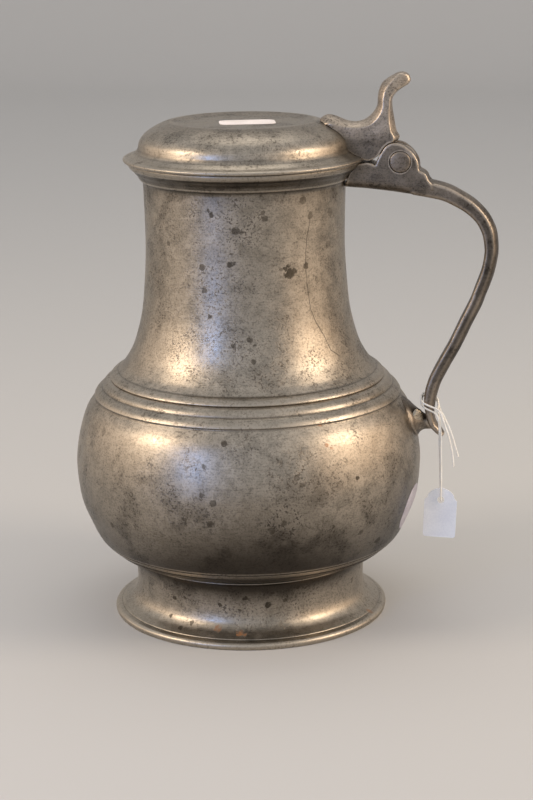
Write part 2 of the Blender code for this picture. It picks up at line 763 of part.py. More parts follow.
def card_outline():
    """The card seen from the front, round at its corners and tapering to a round top."""
    half = card_width / 2
    hole_to_base = card_height - card_hole_drop
    outline = []
    for side, start in ((1, -math.pi / 2), (-1, math.pi)):
        for step in range(4):
            angle = start + math.pi / 2 * step / 3
            outline.append(Vector((
                side * (half - card_corner) + card_corner * math.cos(angle),
                card_corner - hole_to_base + card_corner * math.sin(angle),
            )))
    lower_right, lower_left = outline[:4], outline[4:]
    shoulder = card_hole_drop - card_shoulder
    top = []
    for step in range(9):
        angle = math.pi * step / 8
        top.append(Vector((
            (half - card_corner) * math.cos(angle) * abs(math.cos(angle)) ** 0.3,
            shoulder + card_shoulder * math.sin(angle),
        )))
    return lower_right + [Vector((half, shoulder - card_corner))] + top + [Vector((-half, shoulder - card_corner))] + lower_left


def make_card(parent):
    card = add_object("tag_card", extruded_mesh("tag_card", card_outline(), card_thickness / 2), paper, parent)
    card.location = string_point(card_share)
    card.rotation_euler = (0, card_tilt, 0)
    punch = add_cutter("card_hole", cylinder_mesh("card_hole", card_hole_radius, card_thickness, hole_steps), card)
    boolean(card, punch, "DIFFERENCE")
    return card


remove_start_objects()
parts = new_collection("pewter_flagon")
cutters = new_collection("cutters")
pewter = make_material("turned_pewter", (0.34, 0.32, 0.29), 1.0, 0.38)
cast_pewter = make_material("cast_pewter", (0.20, 0.19, 0.18), 1.0, 0.45)
iron = make_material("iron_pin", (0.12, 0.11, 0.10), 1.0, 0.5)
cotton = make_material("cotton_string", (0.85, 0.84, 0.80), 0.0, 0.9)
paper = make_material("paper_card", (0.86, 0.88, 0.92), 0.0, 0.8)

vessel_axis = bpy.data.objects.new("vessel_axis", None)
parts.objects.link(vessel_axis)
vessel_axis.location = (axis_x, 0, 0)
lid_hinge = bpy.data.objects.new("lid_hinge", None)
parts.objects.link(lid_hinge)
lid_hinge.parent = vessel_axis
lid_hinge.location = (pin_x, 0, pin_z)

envelope = turned_cutter("vessel_envelope", vessel_envelope(), vessel_axis)
make_foot(vessel_axis)
make_bowl(vessel_axis)
make_base_disc(vessel_axis)
make_neck(vessel_axis)
make_handle(vessel_axis, envelope)
make_strut(vessel_axis, envelope)
make_pin_and_caps(vessel_axis)
lid = make_lid(lid_hinge)
lid.location = (-pin_x, 0, -pin_z)
make_thumbpiece(lid_hinge)
make_string(vessel_axis)
make_card(vessel_axis)
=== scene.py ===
# %% [markdown]
# # A pewter flagon with a hinged lid
# The real flagon is turned and cast from pewter, a soft grey tin alloy. Its belly, neck, foot and
# lid were spun or turned on a lathe, so each is one profile carried round an axis. The thumbpiece,
# the hinge block, the strap handle and its strut were cast, so their edges are soft. A paper tag
# hangs from the handle on a twisted cotton string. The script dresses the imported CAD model: it
# keeps that model's places and sizes, and adds the fine surface and the finish.

import json
import math

import bmesh
import bpy
import numpy as np
from mathutils import Matrix, Vector, noise

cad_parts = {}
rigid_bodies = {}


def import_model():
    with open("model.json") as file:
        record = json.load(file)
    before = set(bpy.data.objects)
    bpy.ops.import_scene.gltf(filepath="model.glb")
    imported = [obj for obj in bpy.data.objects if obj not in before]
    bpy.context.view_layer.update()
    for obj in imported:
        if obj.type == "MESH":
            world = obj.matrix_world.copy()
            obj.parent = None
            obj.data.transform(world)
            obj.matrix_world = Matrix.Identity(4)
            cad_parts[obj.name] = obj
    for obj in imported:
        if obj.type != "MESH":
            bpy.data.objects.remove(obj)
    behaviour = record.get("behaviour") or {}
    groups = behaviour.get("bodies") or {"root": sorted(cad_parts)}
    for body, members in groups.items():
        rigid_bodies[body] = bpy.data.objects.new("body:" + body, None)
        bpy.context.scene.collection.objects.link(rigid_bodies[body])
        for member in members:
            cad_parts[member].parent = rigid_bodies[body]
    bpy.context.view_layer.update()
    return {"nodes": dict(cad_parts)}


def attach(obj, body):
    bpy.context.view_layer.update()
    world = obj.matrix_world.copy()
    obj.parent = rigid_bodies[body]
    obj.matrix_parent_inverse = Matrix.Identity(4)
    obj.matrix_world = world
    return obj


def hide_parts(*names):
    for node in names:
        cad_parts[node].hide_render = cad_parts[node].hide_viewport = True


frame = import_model()

# %% [markdown]
# ## Sizes
# All the flagon's driving sizes are in millimetres here, measured from the turned vessel's own
# axis, and one factor brings them to metres. They are the sizes that the CAD model was made with.

# %% Driving sizes
MM = 0.001
AXIS_X = -20.75          # the vessel's axis in the shared frame
BELLY_RADIUS = 94.9
SEAM_HEIGHT = 133.4
RIM_HEIGHT = 251.3
NECK_RADIUS = 53.9
LIP_RADIUS = 62.5
LIP_DEPTH = 9.9
WALL = 2.6
BEAD_RISE = 1.2
GROOVE_DEPTH = 0.5
FOOT_HEIGHT = 33.8
FOOT_RADIUS = 76.0
WAIST_RADIUS = 63.2
FLOOR_RADIUS = 60.0
LID_RADIUS = 65.0
LID_HEIGHT = 20.8
LID_WALL = 2.5
JOINT_GAP = 0.3
BLOCK_X = 83.2           # the hinge block's reference line
PIN_X = 84.3
PIN_Z = 251.3
EAR_RADIUS = 11.1
HINGE_WIDTH = 15.0
STRUT_HEIGHT = 111.0
STRAP_FOOT_X = 100.75
STRAP_REACH = 132.8      # the strap's centre line at its furthest
STRUT_LENGTH = 10.3
FLARE_RADIUS = 10.3
STRING_DROP = 44.6
LOOP_HALF_WIDTH = 8.4
print("the flagon is", PIN_Z + 46.9, "mm high to the tip of its thumbpiece")

# %% [markdown]
# ## The camera
# The photograph was taken from a little above, slightly to the right of the flagon's front. The
# ellipses of the rim, the belly and the foot give the height and the tilt, and the place of the
# handle gives the turn. A long lens, held upright, has the same mild perspective.

# %% Camera at the photograph's viewing angle
CAMERA_PLACE = Vector((167.5 + AXIS_X, -1118.0, 409.6)) * MM
CAMERA_TURN = math.radians(8.0)
CAMERA_TILT = math.radians(90.0 - 14.47)
CAMERA_ROLL = math.radians(-0.8)
SENSOR_HEIGHT = 36.0
FOCAL_SHARE = 2116 / 800  # focal length over the picture's height

camera_data = bpy.data.cameras.new("camera")
camera_data.sensor_fit = "VERTICAL"
camera_data.sensor_height = SENSOR_HEIGHT
camera_data.lens = FOCAL_SHARE * SENSOR_HEIGHT
camera = bpy.data.objects.new("camera", camera_data)
camera.matrix_world = (
    Matrix.Translation(CAMERA_PLACE)
    @ Matrix.Rotation(CAMERA_TURN, 4, "Z")
    @ Matrix.Rotation(CAMERA_TILT, 4, "X")
    @ Matrix.Rotation(CAMERA_ROLL, 4, "Z")
)
bpy.context.scene.collection.objects.link(camera)
bpy.context.scene.camera = camera
bpy.context.scene.view_settings.view_transform = "Standard"
print("the lens is", round(camera_data.lens, 1), "mm")

# %% [markdown]
# ## Small tools
# A few helpers are enough for most of the script. One adds a shader or geometry node with its
# settings and links, and one turns a hex colour to the linear values that Blender works in. Three
# make an object, or a mesh from a bmesh or from lists of points and faces. The last draws a smooth
# curve through a few points, which is how every line of the flagon starts.

# %% Helpers
def add_node(tree, kind, inputs=None, **settings):
    """One node with its settings; an input is a value or another node's output."""
    made = tree.nodes.new(kind)
    for name, value in settings.items():
        setattr(made, name, value)
    for socket, value in (inputs or {}).items():
        if isinstance(value, bpy.types.NodeSocket):
            tree.links.new(value, made.inputs[socket])
        else:
            made.inputs[socket].default_value = value
    return made


def hex_colour(text):
    """An sRGB colour such as #a09a8c as linear red, green, blue and alpha."""
    channels = [int(text[i:i + 2], 16) / 255 for i in (1, 3, 5)]
    linear = [c / 12.92 if c <= 0.04045 else ((c + 0.055) / 1.055) ** 2.4 for c in channels]
    return (*linear, 1.0)


def add_object(name, mesh, material=None):
    made = bpy.data.objects.new(name, mesh)
    bpy.context.scene.collection.objects.link(made)
    if material is not None:
        made.data.materials.append(material)
    return made


def mesh_from(name, form):
    """A new mesh from a bmesh, which is freed."""
    mesh = bpy.data.meshes.new(name)
    form.to_mesh(mesh)
    form.free()
    return mesh


def closed_mesh(name, verts, faces):
    """A closed mesh from points and faces, with every face turned outwards."""
    mesh = bpy.data.meshes.new(name)
    mesh.from_pydata(verts, [], faces)
    form = bmesh.new()
    form.from_mesh(mesh)
    bmesh.ops.recalc_face_normals(form, faces=form.faces)
    form.to_mesh(mesh)
    form.free()
    return mesh


def smooth_line(points, steps):
    """A Catmull-Rom curve through points of any dimension, as an array."""
    p = np.array(points, float)
    p = np.vstack([2 * p[0] - p[1], p, 2 * p[-1] - p[-2]])
    line = []
    for before, start, end, after in zip(p, p[1:], p[2:], p[3:]):
        for step in range(steps):
            t = step / steps
            line.append(0.5 * (
                2 * start + (end - before) * t
                + (2 * before - 5 * start + 4 * end - after) * t ** 2
                + (3 * start - before - 3 * end + after) * t ** 3
            ))
    line.append(p[-2])
    return np.array(line)


print("#808080 is", [round(c, 3) for c in hex_colour("#808080")], "in linear values")

# %% [markdown]
# ## The tag's string
# The string is a limp twisted cotton cord, about 1.1 mm thick. It starts at one cut end, rises to
# the handle, goes round the handle's foot, hangs to the tag and back, goes round again and ends
# free. Three plies wind round one centre line. Geometry Nodes suit this: the line is resampled,
# copied three times, and each copy is moved off the line by an angle that grows with its length.

# %% The string's centre line
# each point: outwards from the strap's foot, across it and up, over the drop, half the loop's
# width and the drop again
string_shares = [
    (0.294, -1.095, -0.570), (0.285, -1.119, -0.460), (0.262, -1.143, -0.314), (0.235, -1.143, -0.197),
    (0.202, -1.143, -0.099), (0.170, -1.131, -0.004), (0.148, -1.107, 0.067), (0.117, -1.071, 0.121),
    (0.074, -1.024, 0.148), (0.020, -0.976, 0.168), (-0.029, -0.929, 0.186), (-0.078, -0.830, 0.205),
    (-0.108, -0.548, 0.224), (-0.113, -0.167, 0.242), (-0.108, 0.238, 0.258), (-0.092, 0.643, 0.262),
    (-0.052, 0.929, 0.250), (0.002, 1.000, 0.232), (0.048, 0.881, 0.211), (0.080, 0.571, 0.188),
    (0.090, 0.190, 0.166), (0.094, -0.214, 0.142), (0.100, -0.595, 0.112), (0.108, -0.833, 0.072),
    (0.117, -0.940, 0.012), (0.128, -1.024, -0.075), (0.139, -1.071, -0.179), (0.141, -1.107, -0.404),
    (0.146, -1.131, -0.695), (0.143, -1.167, -0.888), (0.141, -1.143, -0.971), (0.141, -1.083, -1.007),
    (0.141, -0.964, -1.018), (0.141, -0.845, -1.007), (0.139, -0.786, -0.971), (0.137, -0.774, -0.888),
    (0.132, -0.821, -0.695), (0.125, -0.929, -0.404), (0.120, -1.024, -0.179), (0.115, -1.060, -0.067),
    (0.106, -1.095, 0.022), (0.088, -1.107, 0.070), (0.054, -1.048, 0.100), (0.004, -1.000, 0.122),
    (-0.043, -0.929, 0.141), (-0.084, -0.810, 0.163), (-0.108, -0.548, 0.186), (-0.110, -0.167, 0.208),
    (-0.108, 0.238, 0.224), (-0.096, 0.643, 0.229), (-0.054, 0.940, 0.216), (0.002, 1.012, 0.196),
    (0.050, 0.893, 0.175), (0.085, 0.571, 0.154), (0.099, 0.190, 0.132), (0.112, -0.190, 0.115),
    (0.134, -0.548, 0.094), (0.162, -0.810, 0.060), (0.191, -0.940, 0.005), (0.229, -0.964, -0.070),
    (0.276, -0.952, -0.197), (0.307, -0.940, -0.309), (0.339, -0.929, -0.417), (0.348, -0.929, -0.457),
]
string_line = smooth_line([
    (
        (AXIS_X + STRAP_FOOT_X + out * STRING_DROP) * MM,
        across * LOOP_HALF_WIDTH * MM,
        (STRUT_HEIGHT + up * STRING_DROP) * MM,
    )
    for out, across, up in string_shares
], 4)

# %% The tree that twists three plies round the line
PLY_COUNT = 3
PLY_RADIUS = 0.29 * MM
PLY_OFFSET = 0.26 * MM
TWIST_PITCH = 3.2 * MM
PLY_STEP = 0.45 * MM
PLY_SIDES = 7


def scalar_math(tree, operation, a, b=None):
    given = {0: a} if b is None else {0: a, 1: b}
    return add_node(tree, "ShaderNodeMath", given, operation=operation).outputs[0]


def times(tree, a, b):
    return scalar_math(tree, "MULTIPLY", a, b)


def plus(tree, a, b):
    return scalar_math(tree, "ADD", a, b)


def vector_math(tree, operation, a, b=None, scale=None):
    given = {0: a}
    if b is not None:
        given[1] = b
    if scale is not None:
        given["Scale"] = scale
    return add_node(tree, "ShaderNodeVectorMath", given, operation=operation)


def twist_tree(name, material):
    tree = bpy.data.node_groups.new(name, "GeometryNodeTree")
    sides = tree.interface
    sides.new_socket("Geometry", in_out="INPUT", socket_type="NodeSocketGeometry")
    for label, value in (
        ("Ply Radius", PLY_RADIUS), ("Ply Offset", PLY_OFFSET), ("Twist Pitch", TWIST_PITCH),
        ("Step", PLY_STEP),
    ):
        sides.new_socket(label, in_out="INPUT", socket_type="NodeSocketFloat").default_value = value
    sides.new_socket("Plies", in_out="INPUT", socket_type="NodeSocketInt").default_value = PLY_COUNT
    sides.new_socket("Geometry", in_out="OUTPUT", socket_type="NodeSocketGeometry")
    given = add_node(tree, "NodeGroupInput").outputs
    resampled = add_node(tree, "GeometryNodeResampleCurve",
                         {"Curve": given["Geometry"], "Length": given["Step"]}, mode="LENGTH")
    plies = add_node(tree, "GeometryNodeDuplicateElements",
                     {"Geometry": resampled.outputs[0], "Amount": given["Plies"]}, domain="SPLINE")
    length = add_node(tree, "GeometryNodeSplineParameter").outputs["Length"]
    turns = scalar_math(tree, "DIVIDE", length, given["Twist Pitch"])
    phase = scalar_math(tree, "DIVIDE", plies.outputs["Duplicate Index"], given["Plies"])
    angle = times(tree, plus(tree, turns, phase), math.tau)
    normal = add_node(tree, "GeometryNodeInputNormal").outputs[0]
    tangent = add_node(tree, "GeometryNodeInputTangent").outputs[0]
    side = vector_math(tree, "CROSS_PRODUCT", tangent, normal).outputs[0]
    along_normal = vector_math(tree, "SCALE", normal, scale=scalar_math(tree, "COSINE", angle)).outputs[0]
    along_side = vector_math(tree, "SCALE", side, scale=scalar_math(tree, "SINE", angle)).outputs[0]
    both = vector_math(tree, "ADD", along_normal, along_side).outputs[0]
    offset = vector_math(tree, "SCALE", both, scale=given["Ply Offset"]).outputs[0]
    wound = add_node(tree, "GeometryNodeSetPosition",
                     {"Geometry": plies.outputs["Geometry"], "Offset": offset})
    ring = add_node(tree, "GeometryNodeCurvePrimitiveCircle",
                    {"Resolution": PLY_SIDES, "Radius": given["Ply Radius"]})
    tube = add_node(tree, "GeometryNodeCurveToMesh",
                    {"Curve": wound.outputs[0], "Profile Curve": ring.outputs[0], "Fill Caps": True})
    soft = add_node(tree, "GeometryNodeSetShadeSmooth", {"Geometry": tube.outputs[0]})
    real = add_node(tree, "GeometryNodeRealizeInstances", {"Geometry": soft.outputs[0]})
    dressed = add_node(tree, "GeometryNodeSetMaterial", {"Geometry": real.outputs[0], "Material": material})
    add_node(tree, "NodeGroupOutput", {"Geometry": dressed.outputs[0]})
    return tree


def plain_mesh(name, source):
    """The evaluated geometry of an object as a new plain mesh; the source is removed."""
    mesh = bpy.data.meshes.new_from_object(
        source.evaluated_get(bpy.context.evaluated_depsgraph_get())
    )
    mesh.name = name
    bpy.data.objects.remove(source)
    return mesh


print("each ply turns once in", round(TWIST_PITCH / MM, 1), "mm")

# %% [markdown]
# ## The lines of the vessel
# Belly, neck and foot are drawn as a few points, each a share of a radius and a share of a height,
# so that they follow when a size changes. Belly and neck have the CAD's own points. The foot's
# flare is up to 0.8 mm fuller here, because that catches the light as the real one does. The same
# lines give every mark on the metal its place: an angle round the axis and a height.

# %% The vessel's lines, in millimetres
BELLY = [
    (0.7893, 1.0), (0.838, 0.9618), (0.881, 0.9265), (0.9347, 0.8696), (0.9705, 0.7946), (0.9937, 0.7121),
    (1.0, 0.6297), (0.981, 0.5097), (0.9305, 0.4123), (0.8767, 0.3373), (0.7977, 0.2864),
]
NECK = [
    (0.029, 0.913), (0.005, 0.751), (0.0, 0.607), (0.043, 0.463), (0.119, 0.327), (0.243, 0.226),
    (0.400, 0.141), (0.624, 0.073), (0.790, 0.039),
]
FOOT = [
    (0.250, 1.0), (0.140, 0.953), (0.055, 0.858), (0.008, 0.710), (0.0, 0.520), (0.036, 0.400),
    (0.125, 0.310), (0.312, 0.233), (0.531, 0.180), (0.690, 0.146), (0.703, 0.137), (0.890, 0.115),
    (0.984, 0.084), (1.0, 0.050), (0.977, 0.015), (0.937, 0.0),
]
seam_radius = BELLY[0][0] * BELLY_RADIUS
belly_points = [(r * BELLY_RADIUS, z * SEAM_HEIGHT) for r, z in BELLY]
neck_points = [
    (NECK_RADIUS + r * (seam_radius - NECK_RADIUS), SEAM_HEIGHT + z * (RIM_HEIGHT - SEAM_HEIGHT))
    for r, z in NECK
]
body_line = smooth_line(neck_points + belly_points, 10)
foot_points = [(WAIST_RADIUS + r * (FOOT_RADIUS - WAIST_RADIUS), z * FOOT_HEIGHT) for r, z in FOOT]


def radius_at(height):
    """The body's outer radius at a height, read from its line, which runs downwards."""
    return float(np.interp(-height, -body_line[:, 1], body_line[:, 0]))


def on_vessel(degrees, height):
    """A point on the vessel's wall in metres: degrees round the axis from +X, and a height."""
    r, a = radius_at(height), math.radians(degrees)
    if height < FOOT_HEIGHT:
        r = float(np.interp(-height, [-z for _, z in foot_points], [r for r, _ in foot_points]))
    return Vector((AXIS_X + r * math.cos(a), r * math.sin(a), height)) * MM


print("the body's widest radius is", round(float(body_line[:, 0].max()), 1), "mm")

# %% [markdown]
# ## Finishes
# Old pewter is a warm grey metal with a satin surface: rubbed lighter on its ridges, where a painted
# highlight lies too, darker and duller in its hollows, and covered with small black corrosion pits
# that gather in patches. The pattern sizes come from the photograph: pits of 0.3 to 1 mm, mottling
# of 5 to 8 mm, and broad clouds of about 50 mm. Two noises that are stretched to thin, crossing
# streaks are the scratches.
# The wear and the painted highlight follow an attribute that is measured on each mesh, so that every
# ridge and every hollow gets it by itself. Stains, pitted patches, patches of painted shade, rust and
# the crack are placed one by one, and a colour ramp over the height darkens the waist, the lower
# belly, the lip and the lid's top: partly tarnish, and partly painted shade on the waist under the
# belly, on the lower belly and on the lip under the lid.

# %% Tools for finishes
GRAIN_SIZE = 0.9 * MM
PIT_SIZE = 1.25 * MM
BLOT_SIZE = 3.2 * MM
MOTTLE_SIZE = 7.0 * MM
SMUDGE_SIZE = 17.0 * MM
CLOUD_SIZE = 48.0 * MM
RAGGED = 2.4 * MM
RAMP_HEIGHT = RIM_HEIGHT + 50   # the height that a colour ramp spans, in millimetres


def new_material(name):
    material = bpy.data.materials.new(name)
    material.use_nodes = True
    return material, material.node_tree, material.node_tree.nodes["Principled BSDF"]


def noise_at(tree, place, size, detail, roughness=0.55, distortion=0.0):
    return add_node(tree, "ShaderNodeTexNoise", {
        "Vector": place, "Scale": 1 / size, "Detail": detail, "Roughness": roughness,
        "Distortion": distortion,
    }).outputs[0]


def ranged(tree, value, low, high, to_low=0.0, to_high=1.0):
    return add_node(tree, "ShaderNodeMapRange", {
        "Value": value, "From Min": low, "From Max": high, "To Min": to_low, "To Max": to_high,
    }, interpolation_type="SMOOTHSTEP").outputs[0]


def more(tree, a, b):
    return scalar_math(tree, "MAXIMUM", a, b)


def mixed(tree, share, low, high):
    return add_node(tree, "ShaderNodeMix", {0: share, 6: low, 7: high}, data_type="RGBA").outputs[2]


def stretched(tree, place, turn, scale):
    """The place turned and squeezed, so that a noise read there becomes streaks."""
    return add_node(tree, "ShaderNodeMapping", {
        "Vector": place, "Rotation": tuple(math.radians(t) for t in turn), "Scale": scale,
    }).outputs[0]


def spot_mask(tree, place, spots, crisp=0.7):
    """The strongest of several soft spots; each is degrees, height, radius in mm, and strength."""
    mask = None
    for degrees, height, radius, strength in spots:
        apart = vector_math(tree, "DISTANCE", place, on_vessel(degrees, height)).outputs["Value"]
        spot = ranged(tree, apart, radius * MM, radius * crisp * MM, 0.0, strength)
        mask = spot if mask is None else more(tree, mask, spot)
    return mask


def line_mask(tree, place, points, width):
    """A thin line through points on the wall: 1 within the width and 0 beyond it."""
    nearest = None
    for start, end in zip(points, points[1:]):
        first, step = on_vessel(*start), on_vessel(*end) - on_vessel(*start)
        apart = vector_math(tree, "SUBTRACT", place, first).outputs[0]
        along = vector_math(tree, "DOT_PRODUCT", apart, step / step.length_squared).outputs["Value"]
        share = add_node(tree, "ShaderNodeClamp", {0: along}).outputs[0]
        foot = vector_math(tree, "SCALE", step, scale=share).outputs[0]
        away = vector_math(tree, "DISTANCE", apart, foot).outputs["Value"]
        nearest = away if nearest is None else scalar_math(tree, "MINIMUM", nearest, away)
    return ranged(tree, nearest, width * MM, width * 0.4 * MM)


def height_mask(tree, place, stops):
    """A value that follows the height through stops of (height in mm, value)."""
    height = add_node(tree, "ShaderNodeSeparateXYZ", {0: place}).outputs["Z"]
    share = times(tree, height, 1 / RAMP_HEIGHT / MM)
    ramp = add_node(tree, "ShaderNodeValToRGB", {0: share})
    stops = [(h / RAMP_HEIGHT, v) for h, v in stops]
    band = ramp.color_ramp
    band.elements[0].position, band.elements[1].position = stops[0][0], stops[-1][0]
    band.elements[0].color = (stops[0][1],) * 3 + (1,)
    band.elements[1].color = (stops[-1][1],) * 3 + (1,)
    for at, value in stops[1:-1]:
        band.elements.new(at).color = (value,) * 3 + (1,)
    return ramp.outputs[0]


print("a ramp spans", round(RAMP_HEIGHT, 1), "mm of height")

# %% [markdown]
# ### Marks of age and painted shade
# Noise alone gives an even skin, but old metal has single marks that the eye remembers. So the
# larger stains, the patches with many pits, the rusty places, the crack and the patches of painted
# shade are each listed with their place on the wall, and the ramps are lists of heights.

# %% Marks of age and painted shade
# degrees round the axis, height and radius in millimetres, and strength
STAINS = [
    (-86.6, 221.7, 2.6, 0.75), (-83.6, 221.0, 1.6, 0.5), (-89.9, 204.4, 2.2, 0.85), (-87.9, 205.0, 1.4, 0.7),
    (-89.1, 209.7, 1.3, 0.6), (-106.1, 202.1, 1.8, 0.7), (-56.4, 198.1, 3.2, 0.85),
    (-59.0, 200.8, 1.5, 0.8),
    (-57.3, 202.0, 1.4, 0.8), (-53.8, 199.4, 2.0, 0.7), (-61.7, 200.5, 1.2, 0.5), (-45.9, 201.1, 2.0, 0.75),
    (-48.0, 236.0, 2.4, 0.6), (-42.7, 227.6, 2.2, 0.6), (-70.5, 227.9, 1.9, 0.7), (-71.8, 231.0, 1.5, 0.6),
    (-100.3, 229.9, 1.6, 0.8), (-101.8, 232.0, 1.2, 0.7), (-88.3, 162.3, 1.5, 0.6), (-101.4, 177.0, 1.4, 0.75),
    (-104.8, 190.1, 1.9, 0.7), (-129.6, 212.6, 1.7, 0.6), (-79.9, 165.1, 1.6, 0.7), (-78.3, 153.8, 1.5, 0.7),
    (-25.7, 227.1, 2.6, 0.4), (-27.7, 210.3, 2.2, 0.4), (-77.4, 162.5, 1.1, 0.6),
    (-89.6, 117.5, 2.1, 0.8), (-96.1, 105.9, 1.6, 0.6), (-92.7, 87.4, 2.2, 0.6), (-93.8, 76.1, 2.2, 0.75),
    (-96.4, 91.6, 1.5, 0.6), (-44.8, 94.7, 1.5, 0.85), (-140.6, 113.6, 2.6, 0.4),
    (-30.7, 53.9, 2.3, 0.7), (-42.2, 63.3, 2.0, 0.6), (-133.9, 65.0, 1.8, 0.6), (-102.3, 77.8, 1.5, 0.6),
    (-66.5, 99.5, 1.7, 0.6), (-64.8, 95.5, 1.9, 0.6), (-71.0, 76.0, 2.0, 0.6), (-74.5, 72.0, 2.4, 0.6),
    (-122.2, 20.4, 1.6, 0.8), (-115.8, 21.9, 1.3, 0.7), (-110.7, 9.6, 1.4, 0.7), (-96.8, 20.7, 1.3, 0.8),
    (-91.4, 31.8, 1.8, 0.8), (-84.4, 25.3, 1.5, 0.9), (-76.8, 34.8, 1.8, 0.8), (-73.3, 20.8, 1.9, 0.9),
    (-94.3, 19.2, 1.1, 0.7), (-64.8, 22.8, 1.4, 0.8), (-58.2, 28.7, 1.5, 0.7), (-20.0, 22.8, 1.8, 0.5),
    (-123.6, 10.6, 1.3, 0.8), (-115.3, 6.7, 1.5, 0.8), (-70.9, 27.6, 1.3, 0.8), (-87.0, 18.4, 1.0, 0.7),
]
PITTED = [
    (-100, 192, 34, 0.75), (-86, 162, 26, 0.8), (-84, 226, 30, 0.9), (-108, 230, 20, 0.7),
    (-58, 199, 12, 0.7), (-128, 175, 18, 0.5), (-100, 146, 10, 0.6), (-38, 224, 16, 0.35),
    (-71, 76, 26, 1.0), (-64, 104, 20, 0.9), (-94, 80, 22, 0.7), (-86, 112, 14, 0.6), (-118, 62, 24, 0.45),
    (-38, 92, 18, 0.45), (-30, 66, 22, 0.7), (-140, 88, 20, 0.35), (-78, 45, 30, 0.6), (-88, 20, 24, 0.9),
    (-58, 24, 20, 0.9), (-122, 22, 20, 0.5), (-84, 10, 22, 0.8), (-62, 10, 18, 0.7), (-104, 10, 18, 0.6),
]
RUST = [
    (-86.8, 7.2, 2.4, 0.9), (-84.6, 6.6, 1.5, 0.8), (-97.0, 8.4, 2.4, 0.7), (-54.6, 113.9, 1.5, 0.6),
    (-55.2, 123.4, 1.2, 0.5), (-53.0, 112.0, 1.0, 0.6), (-16.9, 4.6, 2.2, 0.6),
]
# painted shade: patches where the belly's colour is darkened, on its sides and low at its front
PAINTED_SHADE_PATCHES = [
    (-80, 42, 78, 0.46), (-66, 84, 34, 0.22), (175, 50, 70, 0.30), (-14, 74, 56, 0.30),
    (-160, 74, 50, 0.24), (-86, 24, 26, 0.24),
]
# the crack's points: degrees round the axis, and height
CRACK = [
    (-42.7, 225.0), (-44.8, 216.3), (-45.9, 208.2), (-46.0, 199.0), (-45.2, 188.3), (-44.1, 177.6),
    (-41.3, 170.9), (-36.6, 162.3), (-34.3, 155.2), (-28.8, 151.0),
]
CRACK_WIDTH = 0.34
# stops of a ramp: height in millimetres, and strength
RUBBED = [
    (0, 1.0), (10, 1.0), (16, 0.35), (22, 0.0), (240, 0.0), (252, 0.0), (254, 0.6), (258, 0.2), (301, 0.1),
]
# tarnish and painted shade by height: darker at the waist under the belly, on the lower belly, and on the lip
# under the lid's edge
TARNISH_AND_SHADE = [
    (0, 0.0), (6, 0.0), (20, 0.0), (28, 0.45), (33, 1.0), (38, 1.0), (46, 0.66), (60, 0.44), (78, 0.22),
    (98, 0.08), (112, 0.0), (222, 0.05), (234, 0.28), (243, 0.68), (247, 0.84), (251.6, 1.0),
    (253, 0.12), (262, 0.0), (272, 0.46),
]
# the cast pieces' tarnish and painted shade by height: darkest along the strap's middle, dark on the hinge
# block, light on the thumbpiece
CAST_TARNISH_AND_SHADE = [
    (0, 0.5), (100, 0.5), (118, 0.62), (160, 0.84), (205, 0.80), (236, 0.62), (262, 0.62), (268, 0.08),
    (301, 0.0),
]
print(len(STAINS), "stains,", len(PITTED), "pitted patches and", len(RUST), "spots of rust")
